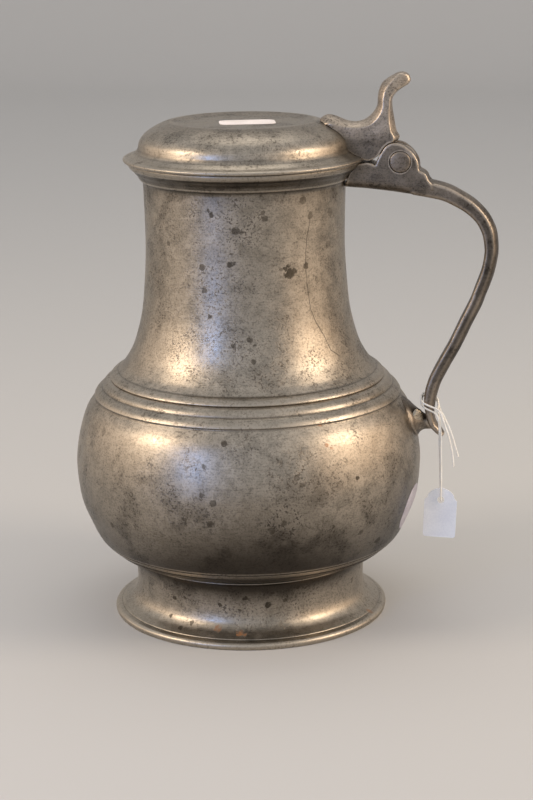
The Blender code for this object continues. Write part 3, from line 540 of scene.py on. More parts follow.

# %% [markdown]
# ### The metals
# One function makes all four, so that they look like one family: the turned pewter with every
# mark, the rougher and darker cast pewter of handle, strut and thumbpiece, the dark hinge pin, and
# the bright solder. Its colour goes from the ground up: mottling and clouds, then scratches,
# smudges, tarnish with painted shade, rubbed ridges with a painted highlight and pits, and the
# single marks on top.

# %% Metals
def old_pewter(name, light, mid, dark, pit_share, gloss, tarnish_and_shade_stops=None, stained=False):
    """Pewter with clouds, mottling, pits, and edge wear with a painted highlight; gloss is its range of
    roughness.
    """
    material, tree, shader = new_material(name)
    place = add_node(tree, "ShaderNodeTexCoord").outputs["Object"]
    wear = add_node(tree, "ShaderNodeAttribute", attribute_name="wear").outputs["Fac"]

    # the patterns
    clouds = ranged(tree, noise_at(tree, place, CLOUD_SIZE, 3.0), 0.35, 0.68)
    mottle = noise_at(tree, place, MOTTLE_SIZE, 8.0, 0.68)
    smudge = ranged(tree, noise_at(tree, place, SMUDGE_SIZE, 6.0, 0.62), 0.48, 0.66)
    grain = noise_at(tree, place, GRAIN_SIZE, 3.0, 0.7)
    streaks = noise_at(tree, stretched(tree, place, (0, 38, 0), (160.0, 400.0, 2600.0)), 1.0, 3.0, 0.6)
    crossed = noise_at(tree, stretched(tree, place, (0, -52, 0), (110.0, 300.0, 2200.0)), 1.0, 3.0, 0.6)
    gathered = ranged(tree, noise_at(tree, place, SMUDGE_SIZE, 5.0, 0.6), 0.46, 0.64, 0.26, 0.7)
    if stained:
        gathered = more(tree, gathered, times(
            tree, spot_mask(tree, place, PITTED, 0.1), ranged(tree, mottle, 0.36, 0.58, 0.35, 1.0)))
    pitted = ranged(tree, noise_at(tree, place, PIT_SIZE, 3.0, 0.6), 0.56 - pit_share, 0.64 - pit_share)
    blots = ranged(tree, noise_at(tree, place, BLOT_SIZE, 6.0, 0.7, 0.4), 0.59, 0.64)
    dashes = ranged(tree, more(tree, streaks, crossed), 0.62, 0.69)
    pits = more(tree, times(tree, pitted, 0.85), times(tree, blots, 0.85))
    pits = times(tree, more(tree, pits, times(tree, dashes, 0.35)), gathered)

    # the colour: mottled and clouded, then scratched, smudged, tarnished with painted shade, worn with a
    # painted highlight on ridges, and pitted
    colour = mixed(tree, ranged(tree, mottle, 0.36, 0.64), mid, light)
    colour = mixed(tree, times(tree, clouds, 0.35), colour, mid)
    rubbed = plus(tree, times(tree, streaks, 0.5), times(tree, crossed, 0.5))
    rubbed = plus(tree, times(tree, rubbed, 0.5), times(tree, grain, 0.5))
    colour = mixed(tree, ranged(tree, rubbed, 0.50, 0.38, 0.0, 0.46), colour, dark)
    colour = mixed(tree, ranged(tree, rubbed, 0.50, 0.62, 0.0, 0.60), colour, light)
    colour = mixed(tree, times(tree, smudge, 0.20), colour, dark)
    colour = mixed(tree, ranged(tree, wear, -0.25, -1.0, 0.0, 0.36), colour, dark)
    if tarnish_and_shade_stops is not None:
        # tarnish and painted shade, read from a ramp over the height
        tarnish_and_shade = plus(tree, height_mask(tree, place, tarnish_and_shade_stops), times(tree, plus(tree, smudge, -0.5), 0.14))
        if stained:
            # the patches of painted shade darken the belly's sides and its low front
            tarnish_and_shade = plus(tree, tarnish_and_shade, spot_mask(tree, place, PAINTED_SHADE_PATCHES, 0.1))
        colour = mixed(tree, ranged(tree, tarnish_and_shade, 0.02, 1.0, 0.0, 0.92), colour, dark)
    # ridges rubbed lighter, and a painted highlight along them
    colour = mixed(tree, ranged(tree, wear, 0.20, 0.85, 0.0, 0.8), colour, light)
    colour = mixed(tree, pits, colour, dark)

    # the single marks, each with a ragged edge
    metal = 1.0
    if stained:
        rubbed_bright = height_mask(tree, place, RUBBED)
        colour = mixed(tree, times(tree, rubbed_bright, 0.16), colour, hex_colour("#c9bfae"))
        ragged = noise_at(tree, place, RAGGED, 3.0, 0.6)
        drift = add_node(tree, "ShaderNodeTexNoise",
                         {"Vector": place, "Scale": 1 / RAGGED, "Detail": 3.0}).outputs["Color"]
        drift = vector_math(tree, "SUBTRACT", drift, (0.5, 0.5, 0.5)).outputs[0]
        drift = vector_math(tree, "SCALE", drift, scale=RAGGED * 1.3).outputs[0]
        moved = vector_math(tree, "ADD", place, drift).outputs[0]
        stains = times(tree, spot_mask(tree, moved, STAINS), ranged(tree, ragged, 0.28, 0.52, 0.55, 1.0))
        colour = mixed(tree, stains, colour, hex_colour("#3b352d"))
        drift = vector_math(tree, "SCALE", drift, scale=0.25).outputs[0]
        crack = line_mask(tree, vector_math(tree, "ADD", place, drift).outputs[0], CRACK, CRACK_WIDTH)
        colour = mixed(tree, times(tree, crack, 0.55), colour, hex_colour("#2b251f"))
        rust = times(tree, spot_mask(tree, moved, RUST), ranged(tree, ragged, 0.35, 0.60, 0.2, 1.0))
        colour = mixed(tree, rust, colour, hex_colour("#8c5a2b"))
        pits = more(tree, pits, more(tree, times(tree, stains, 0.7), crack))
        metal = ranged(tree, rust, 0.0, 1.0, 1.0, 0.25)

    # the shader: its colour, roughness, metal and relief
    tree.links.new(colour, shader.inputs["Base Color"])
    rough = plus(tree, times(tree, mottle, 0.6), times(tree, rubbed, 0.4))
    rough = plus(tree, ranged(tree, rough, 0.30, 0.70, *gloss), times(tree, pits, 0.22))
    tree.links.new(rough, shader.inputs["Roughness"])
    if stained:
        tree.links.new(metal, shader.inputs["Metallic"])
    else:
        shader.inputs["Metallic"].default_value = metal
    height = plus(tree, times(tree, pits, -0.8), times(tree, mottle, 0.30))
    height = plus(tree, height, times(tree, rubbed, 0.35))
    bump = add_node(tree, "ShaderNodeBump", {"Height": height, "Strength": 0.40, "Distance": 0.14 * MM})
    tree.links.new(bump.outputs[0], shader.inputs["Normal"])
    return material


# each metal: its light, middle and dark tone, how far pits spread, and its range of roughness
turned_pewter = old_pewter(
    "turned_pewter", hex_colour("#aca396"), hex_colour("#968e82"), hex_colour("#302b26"), 0.03,
    (0.28, 0.46), TARNISH_AND_SHADE, True
)
cast_pewter = old_pewter(
    "cast_pewter", hex_colour("#b3a799"), hex_colour("#978d82"), hex_colour("#1e1b18"), 0.02,
    (0.34, 0.50), CAST_TARNISH_AND_SHADE
)
pin_pewter = old_pewter(
    "pin_pewter", hex_colour("#90867b"), hex_colour("#746b62"), hex_colour("#27231e"), 0.0, (0.38, 0.52)
)
solder = old_pewter(
    "soft_solder", hex_colour("#c4bbab"), hex_colour("#9d9384"), hex_colour("#453d33"), 0.0, (0.22, 0.36)
)
print("four metals:", turned_pewter.name, cast_pewter.name, pin_pewter.name, solder.name)

# %% [markdown]
# ### Cotton and paper
# Cotton string and plain paper are matt, and fine fibres keep them from looking like plastic. One
# noise at the size of the fibres gives both the relief and, with a broader one, the change of
# tone, so one function makes all four. The sticker has a slight sheen and has greyed most.

# %% Cotton and paper
THREAD_SIZE = 0.35 * MM
FIBRE_SIZE = 0.8 * MM


def fibrous(name, light, shade, size, rough, strength):
    """Cotton or paper: matt, with fine fibres and a faint change of tone."""
    material, tree, shader = new_material(name)
    place = add_node(tree, "ShaderNodeTexCoord").outputs["Object"]
    fibres = noise_at(tree, place, size, 6.0, 0.7)
    tone = noise_at(tree, place, size * 14, 3.0)
    tone = plus(tree, times(tree, fibres, 0.5), times(tree, tone, 0.5))
    colour = mixed(tree, ranged(tree, tone, 0.35, 0.65), shade, light)
    tree.links.new(colour, shader.inputs["Base Color"])
    shader.inputs["Roughness"].default_value = rough
    shader.inputs["Metallic"].default_value = 0.0
    bump = add_node(tree, "ShaderNodeBump", {"Height": fibres, "Strength": strength, "Distance": 0.05 * MM})
    tree.links.new(bump.outputs[0], shader.inputs["Normal"])
    return material


cotton = fibrous("cotton_string", hex_colour("#fbf9f3"), hex_colour("#e4dfd4"), THREAD_SIZE, 0.9, 0.6)
card_paper = fibrous("card_paper", hex_colour("#edf0f6"), hex_colour("#dfe3ec"), FIBRE_SIZE, 0.75, 0.25)
label_paper = fibrous("label_paper", hex_colour("#f3ecea"), hex_colour("#ded6d2"), FIBRE_SIZE, 0.7, 0.25)
sticker_paper = fibrous("sticker_paper", hex_colour("#b4b0ba"), hex_colour("#98939e"), FIBRE_SIZE, 0.45, 0.25)
print("a thread and three papers:", cotton.name, card_paper.name, label_paper.name, sticker_paper.name)

string_curve = bpy.data.curves.new("string_line", "CURVE")
string_curve.dimensions = "3D"
string_spline = string_curve.splines.new("POLY")
string_spline.points.add(len(string_line) - 1)
for point, at in zip(string_spline.points, string_line):
    point.co = (*at, 1)
string_source = add_object("string_line", string_curve)
winding = string_source.modifiers.new("Winding", "NODES")
winding.node_group = twist_tree("wind_plies", cotton)
tag_string = add_object("twisted_string", plain_mesh("twisted_string", string_source))
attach(tag_string, "vessel")
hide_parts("tag_string")
print("the string has", len(tag_string.data.polygons), "faces")

# %% [markdown]
# ## The turned pieces
# A lathe leaves no flats, so the turned pieces are swept with many more steps here than a CAD
# solid can carry. Lip, lid and the lines round the belly's bottom have the CAD's own points, and
# each hard corner of a moulding is rounded a little, as handling and polishing round it. The
# creases between the reeds are shallower than there, as on an old and worn moulding.

# %% Profiles
LIP = [
    (0.953, 1.0), (1.0, 0.97), (1.0, 0.889), (0.895, 0.707), (0.663, 0.556), (0.600, 0.470),
    (0.419, 0.313), (0.250, 0.030), (0.085, -0.030),
]
MOUTH = [(0.30, 0.89), (0.05, 0.52), (-0.16, -0.04)]
REED_DEPTH = 9.5
REED_OVER = [(0.43, 0.0), (0.40, 0.60), (0.28, 1.15), (0.09, 0.95), (0.008, 0.10)]
REED_UNDER = [
    (0.008, 0.10), (0.09, 0.95), (0.26, 1.2), (0.42, 0.85), (0.48, 0.50), (0.55, 0.95),
    (0.74, 1.25), (0.91, 0.95), (0.97, 0.70), (1.01, 0.10),
]
FOOT_LINES = [(0.3335, 0.0), (0.3305, -1.0), (0.3270, 0.0), (0.3085, 0.0), (0.3055, -1.0), (0.3020, 0.0)]
UNDERSIDE = [(0.7920, 0.2835), (0.7450, 0.2710), (0.7030, 0.2566)]
FOOT_HOLLOW = [(0.492, 0.0), (0.300, 0.070), (0.0, 0.150), (-0.180, 0.300), (-0.234, 0.600), (-0.220, 0.910)]
LID = [
    (0.0, 0.942), (0.477, 0.942), (0.554, 0.981), (0.600, 1.0), (0.651, 0.966), (0.695, 0.913),
    (0.766, 0.798), (0.823, 0.663), (0.860, 0.500), (0.874, 0.317), (0.894, 0.226), (0.945, 0.135),
    (0.991, 0.091), (1.0, 0.0625), (0.998, 0.029), (0.991, 0.0),
]
ARC_STEPS = 4


def rounded(points, radius):
    """A polyline with each of its corners replaced by a short arc."""
    p = np.array(points, float)
    line = [p[0]]
    for before, corner, after in zip(p, p[1:], p[2:]):
        into, out = corner - before, after - corner
        lengths = np.linalg.norm(into), np.linalg.norm(out)
        cut = min(radius, lengths[0] * 0.45, lengths[1] * 0.45)
        start, end = corner - into / lengths[0] * cut, corner + out / lengths[1] * cut
        for step in range(ARC_STEPS + 1):
            t = step / ARC_STEPS
            line.append((1 - t) ** 2 * start + 2 * t * (1 - t) * corner + t ** 2 * end)
    line.append(p[-1])
    return np.array(line)


def lip_points(shares):
    return [
        (NECK_RADIUS + r * (LIP_RADIUS - NECK_RADIUS), RIM_HEIGHT - LIP_DEPTH * (1 - z)) for r, z in shares
    ]


def reeds(shares, side):
    points = []
    for distance, rise in shares:
        height = SEAM_HEIGHT + side * distance * REED_DEPTH
        points.append((radius_at(height) + rise * BEAD_RISE, height))
    return smooth_line(points, 4)


def beside(line, distance):
    """A line moved sideways, to the left of its run."""
    run = np.gradient(line, axis=0)
    run /= np.linalg.norm(run, axis=1)[:, None]
    return line + distance * np.stack([-run[:, 1], run[:, 0]], 1)


def inside_wall(lowest, highest):
    """The body's inner face between two heights, from bottom to top."""
    inner = beside(smooth_line(neck_points + belly_points, 4), -WALL)[::-1]
    return inner[(inner[:, 1] > lowest) & (inner[:, 1] < highest)]


highest_reed = max(rise for _, rise in REED_OVER + REED_UNDER) * BEAD_RISE
print("the seam's reeds stand out", round(highest_reed, 1), "mm at most")

# %% [markdown]
# ### Sweep and wear
# The sweep turns a profile into a closed mesh, and a slow noise moves the wall by a tenth of a
# millimetre, as old spun metal is never quite round. Then each point learns how far it stands out
# from its surroundings. On the turned pieces that is measured along the profile, so that a round
# belly counts as flat. The finish reads this value to rub ridges light, with a painted highlight on
# them, and to leave hollows dark.

# %% Sweep a profile round the axis
TURN_STEPS = 200
WEAR_SPAN = 1.6          # half the length of profile over which wear is measured, in millimetres
WEAR_READS = 9           # at how many places along that span the profile is read
WEAR_REACH = 0.16        # how far a ridge stands out to be fully worn
WEAR_ROUNDS = 6          # how often a cast mesh is averaged to find its surroundings
DENT = 0.10              # how far the worn wall strays from a true circle


def dent_at(place):
    """A slow waver in the wall, in millimetres."""
    return DENT * (noise.noise(place * 0.018) + 0.5 * noise.noise(place * 0.05 + Vector((7, 3, 1))))


def ring_of(profile):
    """The profile's points off the axis, and whether it has poles, because it ends on the axis."""
    poles = profile[0][0] == 0
    return np.array(profile[1:-1] if poles else profile, float), poles


def turned_mesh(name, profile):
    """A closed mesh from a profile in millimetres."""
    ring, poles = ring_of(profile)
    verts = []
    for step in range(TURN_STEPS):
        angle = math.tau * step / TURN_STEPS
        c, s = math.cos(angle), math.sin(angle)
        for r, z in ring:
            grow = dent_at(Vector((r * c, r * s, z)))
            verts.append((AXIS_X * MM + (r + grow) * c * MM, (r + grow) * s * MM, z * MM))
    count = len(ring)
    faces = []
    for step in range(TURN_STEPS):
        here, there = step * count, (step + 1) % TURN_STEPS * count
        for i in range(count - 1 if poles else count):
            j = (i + 1) % count
            faces.append((here + i, here + j, there + j, there + i))
    if poles:
        for pole, row in ((0, 0), (-1, count - 1)):
            verts.append((AXIS_X * MM, 0.0, profile[pole][1] * MM))
            for step in range(TURN_STEPS):
                faces.append((len(verts) - 1, step * count + row, (step + 1) % TURN_STEPS * count + row))
    mesh = closed_mesh(name, verts, faces)
    mesh.shade_smooth()
    return mesh


def read_values(items, label, width, kind=float):
    """One value of each vertex or edge, as an array of rows."""
    values = np.empty(len(items) * width, kind)
    items.foreach_get(label, values)
    return values.reshape(-1, width)


def write_wear(mesh, wear):
    mesh.attributes.new("wear", "FLOAT", "POINT").data.foreach_set("value", wear.astype(np.float32))


def mark_wear(mesh, reach):
    """Writes how far each point stands out of its surroundings: -1 in a hollow, 1 on a ridge."""
    place = read_values(mesh.vertices, "co", 3)
    normal = read_values(mesh.vertices, "normal", 3)
    pairs = read_values(mesh.edges, "vertices", 2, np.int64)
    count = len(place)
    degree = np.bincount(pairs.ravel(), minlength=count).clip(1)[:, None]
    calm = place.copy()
    for _ in range(WEAR_ROUNDS):
        total = np.zeros_like(calm)
        for axis in range(3):
            total[:, axis] = np.bincount(pairs[:, 0], calm[pairs[:, 1], axis], count)
            total[:, axis] += np.bincount(pairs[:, 1], calm[pairs[:, 0], axis], count)
        calm = total / degree
    out = ((place - calm) * normal).sum(1)
    write_wear(mesh, np.clip(out / reach, -1, 1))


def mark_line_wear(mesh, profile):
    """The same for a turned mesh, measured along its profile, so that a belly counts as flat."""
    ring, poles = ring_of(profile)
    loop = ring if poles else np.vstack([ring, ring[:1]])
    along = np.concatenate([[0], np.cumsum(np.linalg.norm(np.diff(loop, axis=0), axis=1))])
    calm = np.zeros_like(ring)
    for offset in np.linspace(-WEAR_SPAN, WEAR_SPAN, WEAR_READS):
        at = along[:len(ring)] + offset
        at = at.clip(0, along[-1]) if poles else at % along[-1]
        calm += np.stack([np.interp(at, along, loop[:, k]) for k in (0, 1)], 1) / WEAR_READS
    out = [
        (place[0] - rest[0]) * vert.normal.x + (place[1] - rest[1]) * vert.normal.z
        for place, rest, vert in zip(ring, calm, mesh.vertices)
    ]
    wear = np.tile(np.clip(np.array(out) / WEAR_REACH, -1, 1), TURN_STEPS)
    write_wear(mesh, np.concatenate([wear, np.zeros(len(mesh.vertices) - len(wear))]))


def turned_piece(name, profile, node, body):
    mesh = turned_mesh(name, profile)
    mark_line_wear(mesh, profile)
    piece = add_object(name, mesh, turned_pewter)
    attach(piece, body)
    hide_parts(node)
    print(name, "has", len(mesh.polygons), "faces")


print("each profile is swept in", TURN_STEPS, "steps")

# %% [markdown]
# ### Foot, bowl, neck and lid
# Each outside is followed by its inside, so that every piece is a closed shell with a real wall.
# The bowl ends at the crease between its reeds and the neck's, and a ledge in its bottom carries
# the floor. The lid is a thin dome with a flat bearing ring that rests on the lip.

# %% Foot, bowl and neck
LEDGE_WIDTH = 4.0
LEDGE_THICKNESS = 2.7
FLOOR_THICKNESS = 2.5
REED_GAP = 0.6           # how far the body's line stays from the reeds
LINES_GAP = 0.5          # and from the lines round its bottom
MOUTH_STEP = 1.2
SMOOTH_COUNT = 9         # the points of the foot that belong to its curve; the rest are its rim
RIM_ROUND, LINES_ROUND, LIP_ROUND = 0.5, 0.25, 0.7
foot_out = smooth_line(foot_points[:SMOOTH_COUNT], 5)
foot_rim = rounded([tuple(foot_out[-1])] + foot_points[SMOOTH_COUNT:], RIM_ROUND)
foot_in = [(WAIST_RADIUS + r * (FOOT_RADIUS - WAIST_RADIUS), z * FOOT_HEIGHT) for r, z in FOOT_HOLLOW]
flange = FLOOR_RADIUS - LEDGE_WIDTH
foot_inside = np.vstack([smooth_line(foot_in, 4), [(flange, foot_in[-1][1]), (flange, FOOT_HEIGHT)]])
turned_piece("foot_ring", np.vstack([foot_out, foot_rim[1:], foot_inside]), "foot", "vessel")

bowl_bottom = FOOT_HEIGHT + JOINT_GAP
reeds_under = reeds(REED_UNDER, -1)
lines_top = FOOT_LINES[0][0] * SEAM_HEIGHT
belly_part = body_line[
    (body_line[:, 1] > lines_top + LINES_GAP) & (body_line[:, 1] < reeds_under[-1][1] - REED_GAP)
]
foot_lines = rounded([
    (radius_at(share * SEAM_HEIGHT) + depth * GROOVE_DEPTH, share * SEAM_HEIGHT)
    for share, depth in FOOT_LINES
], LINES_ROUND)
underside = [(r * BELLY_RADIUS, z * SEAM_HEIGHT) for r, z in UNDERSIDE]
underside[-1] = (underside[-1][0], bowl_bottom)
pocket = FLOOR_RADIUS + JOINT_GAP
ledge_top = bowl_bottom + LEDGE_THICKNESS
disc_top = ledge_top + JOINT_GAP + FLOOR_THICKNESS
bowl_profile = np.vstack([
    reeds_under, belly_part, foot_lines, smooth_line([tuple(foot_lines[-1])] + underside, 4)[1:],
    [(flange, bowl_bottom), (flange, ledge_top), (pocket, ledge_top), (pocket, disc_top)],
    inside_wall(disc_top + WALL / 2, reeds_under[0][1] - WALL / 2),
    [(reeds_under[0][0] - WALL, reeds_under[0][1])],
])
turned_piece("round_bowl", bowl_profile, "bowl", "vessel")

reeds_over = reeds(REED_OVER, 1)
neck_part = body_line[
    (body_line[:, 1] > reeds_over[0][1] + REED_GAP) & (body_line[:, 1] <= neck_points[0][1])
]
mouth = lip_points(MOUTH)
neck_lip = rounded(lip_points(LIP) + [tuple(neck_part[0])], LIP_ROUND)[:-1]
neck_profile = np.vstack([
    neck_lip, neck_part, reeds_over,
    [(reeds_over[-1][0] - WALL, reeds_over[-1][1])],
    inside_wall(reeds_over[-1][1] + WALL / 2, mouth[-1][1] - WALL),
    smooth_line(mouth[::-1], 4), [(mouth[0][0] + MOUTH_STEP, RIM_HEIGHT)],
])
turned_piece("tall_neck", neck_profile, "neck", "vessel")
vessel_outside = np.vstack([neck_lip, neck_part, reeds_over, reeds_under, belly_part])


def outside_radius(height):
    """The vessel's outer radius at a height, from the lip to the bottom of the belly."""
    return float(np.interp(-height, -vessel_outside[:, 1], vessel_outside[:, 0]))


# %% Lid
BEARING_WIDTH = 8.0      # the flat ring of the lid that rests on the lip
EDGE_ROUND = 0.8
lid_base = RIM_HEIGHT + JOINT_GAP
lid_points = [(r * LID_RADIUS, lid_base + z * LID_HEIGHT) for r, z in LID]
flat_top = [(r, lid_points[0][1]) for r in np.linspace(0, lid_points[1][0], 16)[:-1]]
lid_out = np.vstack([
    flat_top, smooth_line(lid_points[1:10], 7)[:-1], rounded(lid_points[9:], EDGE_ROUND),
])
dome_in = beside(smooth_line(lid_points[1:11], 3), -LID_WALL)
lid_inside = np.vstack([
    [(lid_points[-1][0] - BEARING_WIDTH, lid_base), (dome_in[-1][0], dome_in[-1][1] - LID_WALL)],
    dome_in[::-1], [(r, dome_in[0][1]) for r in np.linspace(dome_in[0][0], 0, 10)[1:]],
])
turned_piece("domed_lid", np.vstack([lid_out, lid_inside]), "lid", "lid_with_thumbpiece")

# %% [markdown]
# ## Cast pieces
# The handle, the strut and the thumbpiece were cast and then filed, so no edge on them is sharp.
# Each is first put together from closed forms that overlap, a lofted strap and a hinge block for
# the handle. A voxel remesh then joins the forms into one skin, and a few rounds of smoothing
# round its edges as filing and use do. The hinge's slot and bores are cut last, because a machined
# fit stays crisp.

# %% Tools for cast pieces
VOXEL = 0.55 * MM
CUT_STEPS = 48
CRISP_ANGLE = math.radians(50)


def loft(name, sections):
    """A closed skin through sections with as many points each, given in metres."""
    form = bmesh.new()
    rings = [[form.verts.new(point) for point in section] for section in sections]
    for ring, following in zip(rings, rings[1:]):
        for i in range(len(ring)):
            j = (i + 1) % len(ring)
            form.faces.new((ring[i], ring[j], following[j], following[i]))
    form.faces.new(rings[0])
    form.faces.new(rings[-1])
    bmesh.ops.recalc_face_normals(form, faces=form.faces)
    return mesh_from(name, form)


def plate(name, outline, half_width, bevel=0.0):
    """An outline of (x, z) millimetres about the vessel's axis, two half widths thick along Y.

    The bevel rounds the long edges below the ears.
    """
    form = bmesh.new()
    ring = [form.verts.new(((AXIS_X + x) * MM, -half_width * MM, z * MM)) for x, z in outline]
    face = form.faces.new(ring)
    made = bmesh.ops.extrude_face_region(form, geom=[face])["geom"]
    bmesh.ops.translate(form, verts=[v for v in made if isinstance(v, bmesh.types.BMVert)],
                        vec=(0, 2 * half_width * MM, 0))
    if bevel:
        lowest = (PIN_Z - EAR_RADIUS) * MM
        under = [
            e for e in form.edges
            if abs(e.verts[0].co.y - e.verts[1].co.y) < 1e-6 and max(v.co.z for v in e.verts) < lowest
            and abs(e.verts[0].co.x - e.verts[1].co.x) > half_width / 2 * MM
        ]
        bmesh.ops.bevel(form, geom=under, offset=bevel * MM, segments=8, profile=0.5, affect="EDGES",
                        clamp_overlap=True)
    bmesh.ops.recalc_face_normals(form, faces=form.faces)
    return mesh_from(name, form)


def circle(x, z, radius, start=0.0, end=math.tau, steps=CUT_STEPS):
    """Points of an arc about (x, z), in millimetres; a whole turn leaves its last point out."""
    whole = abs(end - start - math.tau) < 1e-6
    angles = [start + (end - start) * i / steps for i in range(steps if whole else steps + 1)]
    return [(x + radius * math.cos(a), z + radius * math.sin(a)) for a in angles]


def one_skin(name, meshes, voxel, rounds):
    """Joins closed overlapping meshes into one smooth skin."""
    form = bmesh.new()
    for mesh in meshes:
        form.from_mesh(mesh)
    source = add_object(name, mesh_from(name, form))
    remesh = source.modifiers.new("One skin", "REMESH")
    remesh.mode = "VOXEL"
    remesh.voxel_size = voxel
    calm = source.modifiers.new("Filed edges", "SMOOTH")
    calm.factor = 0.5
    calm.iterations = rounds
    return plain_mesh(name, source)


def join_or_cut(name, mesh, others, operation):
    """The mesh joined with the others, or less all of them at once."""
    source = add_object(name, mesh)
    tools = bpy.data.collections.new("tools")
    bpy.context.scene.collection.children.link(tools)
    for other in others:
        tools.objects.link(bpy.data.objects.new("tool", other))
    taken = source.modifiers.new("Fit", "BOOLEAN")
    taken.operation = operation
    taken.solver = "EXACT"
    taken.operand_type = "COLLECTION"
    taken.collection = tools
    made = plain_mesh(name, source)
    for tool in list(tools.objects):
        bpy.data.objects.remove(tool)
    bpy.data.collections.remove(tools)
    return made


def seat_on_vessel(mesh, gap):
    """Moves what would lie inside the vessel out along X to its surface, plus a gap."""
    for vert in mesh.vertices:
        x, y, z = vert.co.x / MM - AXIS_X, vert.co.y / MM, vert.co.z / MM
        reach = outside_radius(z) + gap
        if x > 0 and x * x + y * y < reach * reach and abs(y) < reach:
            vert.co.x = (AXIS_X + math.sqrt(reach * reach - y * y)) * MM


def seat_on_lid(mesh, gap):
    """Moves what would lie inside the lid up to its surface, plus a gap."""
    for vert in mesh.vertices:
        r = math.hypot(vert.co.x / MM - AXIS_X, vert.co.y / MM)
        if r < LID_RADIUS + gap:
            lowest = float(np.interp(r, lid_out[:, 0], lid_out[:, 1])) + gap
            vert.co.z = max(vert.co.z, lowest * MM)


def waver(mesh, size, amount):
    """Moves the skin in and out a little, as hand filing leaves it."""
    normals = [vert.normal.copy() for vert in mesh.vertices]
    for vert, normal in zip(mesh.vertices, normals):
        vert.co += normal * amount * MM * noise.noise(vert.co / (size * MM))


def cast_piece(name, mesh, node, body, reach=0.22 * MM, material=cast_pewter):
    """A finished cast piece; reach is how far a ridge stands out to be fully worn."""
    mesh.shade_smooth()
    mesh.set_sharp_from_angle(angle=CRISP_ANGLE)
    mark_wear(mesh, reach)
    piece = add_object(name, mesh, material)
    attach(piece, body)
    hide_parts(node)
    print(name, "has", len(mesh.polygons), "faces")


print("a remeshed skin has a point every", round(VOXEL / MM, 2), "mm")

# %% [markdown]
# ### The handle
# The strap is a flat ribbon inside and arched outside. It leaves the hinge block almost level,
# turns down in one easy bend and tapers to a small tail turned out below the strut. Its sections
# are lofted along one smooth line. The block's outline has two ears for the hinge pin and a small
# stepped moulding behind them.

# %% Handle
STRAP_UPPER = [
    (0.063, 0.914), (0.197, 0.905), (0.354, 0.894), (0.509, 0.881), (0.664, 0.854), (0.762, 0.8325),
    (0.841, 0.808), (0.904, 0.782), (0.949, 0.7534), (0.981, 0.7227), (1.0, 0.670),
]
STRAP_LOWER = [
    (0.988, 0.634), (0.930, 0.570), (0.809, 0.495), (0.736, 0.4505), (0.553, 0.364), (0.395, 0.287),
    (0.216, 0.2117), (0.067, 0.142), (-0.003, 0.0805), (-0.012, 0.0356), (0.009, 0.0),
    (0.048, -0.0257), (0.111, -0.0435), (0.170, -0.0592), (0.220, -0.0706),
]
# along the strap: share of its length, thickness, width and crown, in millimetres
STRAP_SIZES = [
    (0.0, 5.8, 12.6, 0.9), (0.03, 9.3, 14.4, 1.2), (0.40, 7.2, 13.6, 3.4), (0.84, 7.0, 12.0, 3.4),
    (0.88, 6.2, 11.9, 3.0), (0.92, 4.4, 11.8, 2.1), (0.96, 3.8, 11.3, 1.8), (0.98, 3.6, 10.0, 1.7),
    (1.0, 2.2, 6.6, 1.0),
]
STRAP_EDGE = 2.2
BLOCK_FRONT = [(-2.60, -1.250), (-2.225, -0.117), (-1.73, -0.063), (-1.505, -0.027), (-1.252, -0.063)]
BLOCK_BACK = [
    (1.045, -0.423), (1.261, -0.5225), (1.378, -0.658), (1.441, -0.856), (1.550, -0.964),
    (1.649, -1.243), (1.480, -1.700),
]
BLOCK_UNDER = [(0.306, -1.55), (-0.288, -1.459), (-0.892, -1.396), (-1.486, -1.333)]
EAR = [
    (-1.072, -0.198), (-1.054, -0.027), (-0.955, 0.180), (-0.829, 0.423), (-0.667, 0.667),
    (-0.468, 0.838), (-0.243, 0.910), (0.027, 0.874), (0.252, 0.793), (0.450, 0.658),
    (0.649, 0.477), (0.802, 0.288), (0.919, 0.072), (0.973, -0.153), (0.982, -0.369),
]
BLOCK_BEVEL = 5.0
KNUCKLE_WIDTH = 5.0
KNUCKLE_RADIUS = 8.2
SLOT_RADIUS = 16.2
PIN_RADIUS = 2.6
CAP_RADIUS = 5.6
CAP_DEPTH = 2.0
RUNNING_GAP = 0.4        # between the knuckle and the slot it turns in


def at_block(shares):
    return [(BLOCK_X + x * EAR_RADIUS, PIN_Z + z * EAR_RADIUS) for x, z in shares]


def strap_line():
    points = [
        (inner + r * (STRAP_REACH - inner), STRUT_HEIGHT + h * (PIN_Z - STRUT_HEIGHT))
        for inner, shares in ((BLOCK_X, STRAP_UPPER), (STRAP_FOOT_X, STRAP_LOWER)) for r, h in shares
    ]
    return smooth_line(points, 7)


def strap_mesh(name, grow=0.0):
    """The strap's loft: flat inside, crowned outside, with its edges rounded; grow fattens it."""
    line = strap_line()
    run = np.gradient(line, axis=0)
    run /= np.linalg.norm(run, axis=1)[:, None]
    steps = np.linalg.norm(np.diff(line, axis=0), axis=1)
    along = np.concatenate([[0], np.cumsum(steps)]) / steps.sum()
    sizes = np.array(STRAP_SIZES)
    sections = []
    for at, way, share in zip(line, run, along):
        thick, wide, crown = (np.interp(share, sizes[:, 0], sizes[:, k]) for k in (1, 2, 3))
        half, depth = wide / 2, thick / 2
        edge = min(STRAP_EDGE, depth / 2)
        points = []
        for side, start in ((-1, math.pi), (1, 1.5 * math.pi)):
            for k in range(5):
                angle = start + math.pi / 2 * k / 4
                points.append((side * (half - edge) + (edge + grow) * math.cos(angle),
                               edge - depth + (edge + grow) * math.sin(angle)))
        for k in range(17):
            angle = math.pi * k / 16
            points.append(((half + grow) * math.cos(angle), depth - crown + (crown + grow) * math.sin(angle)))
        sections.append([
            ((AXIS_X + at[0] - out * way[1]) * MM, across * MM, (at[1] + out * way[0]) * MM)
            for across, out in points
        ])
    return loft(name, sections)


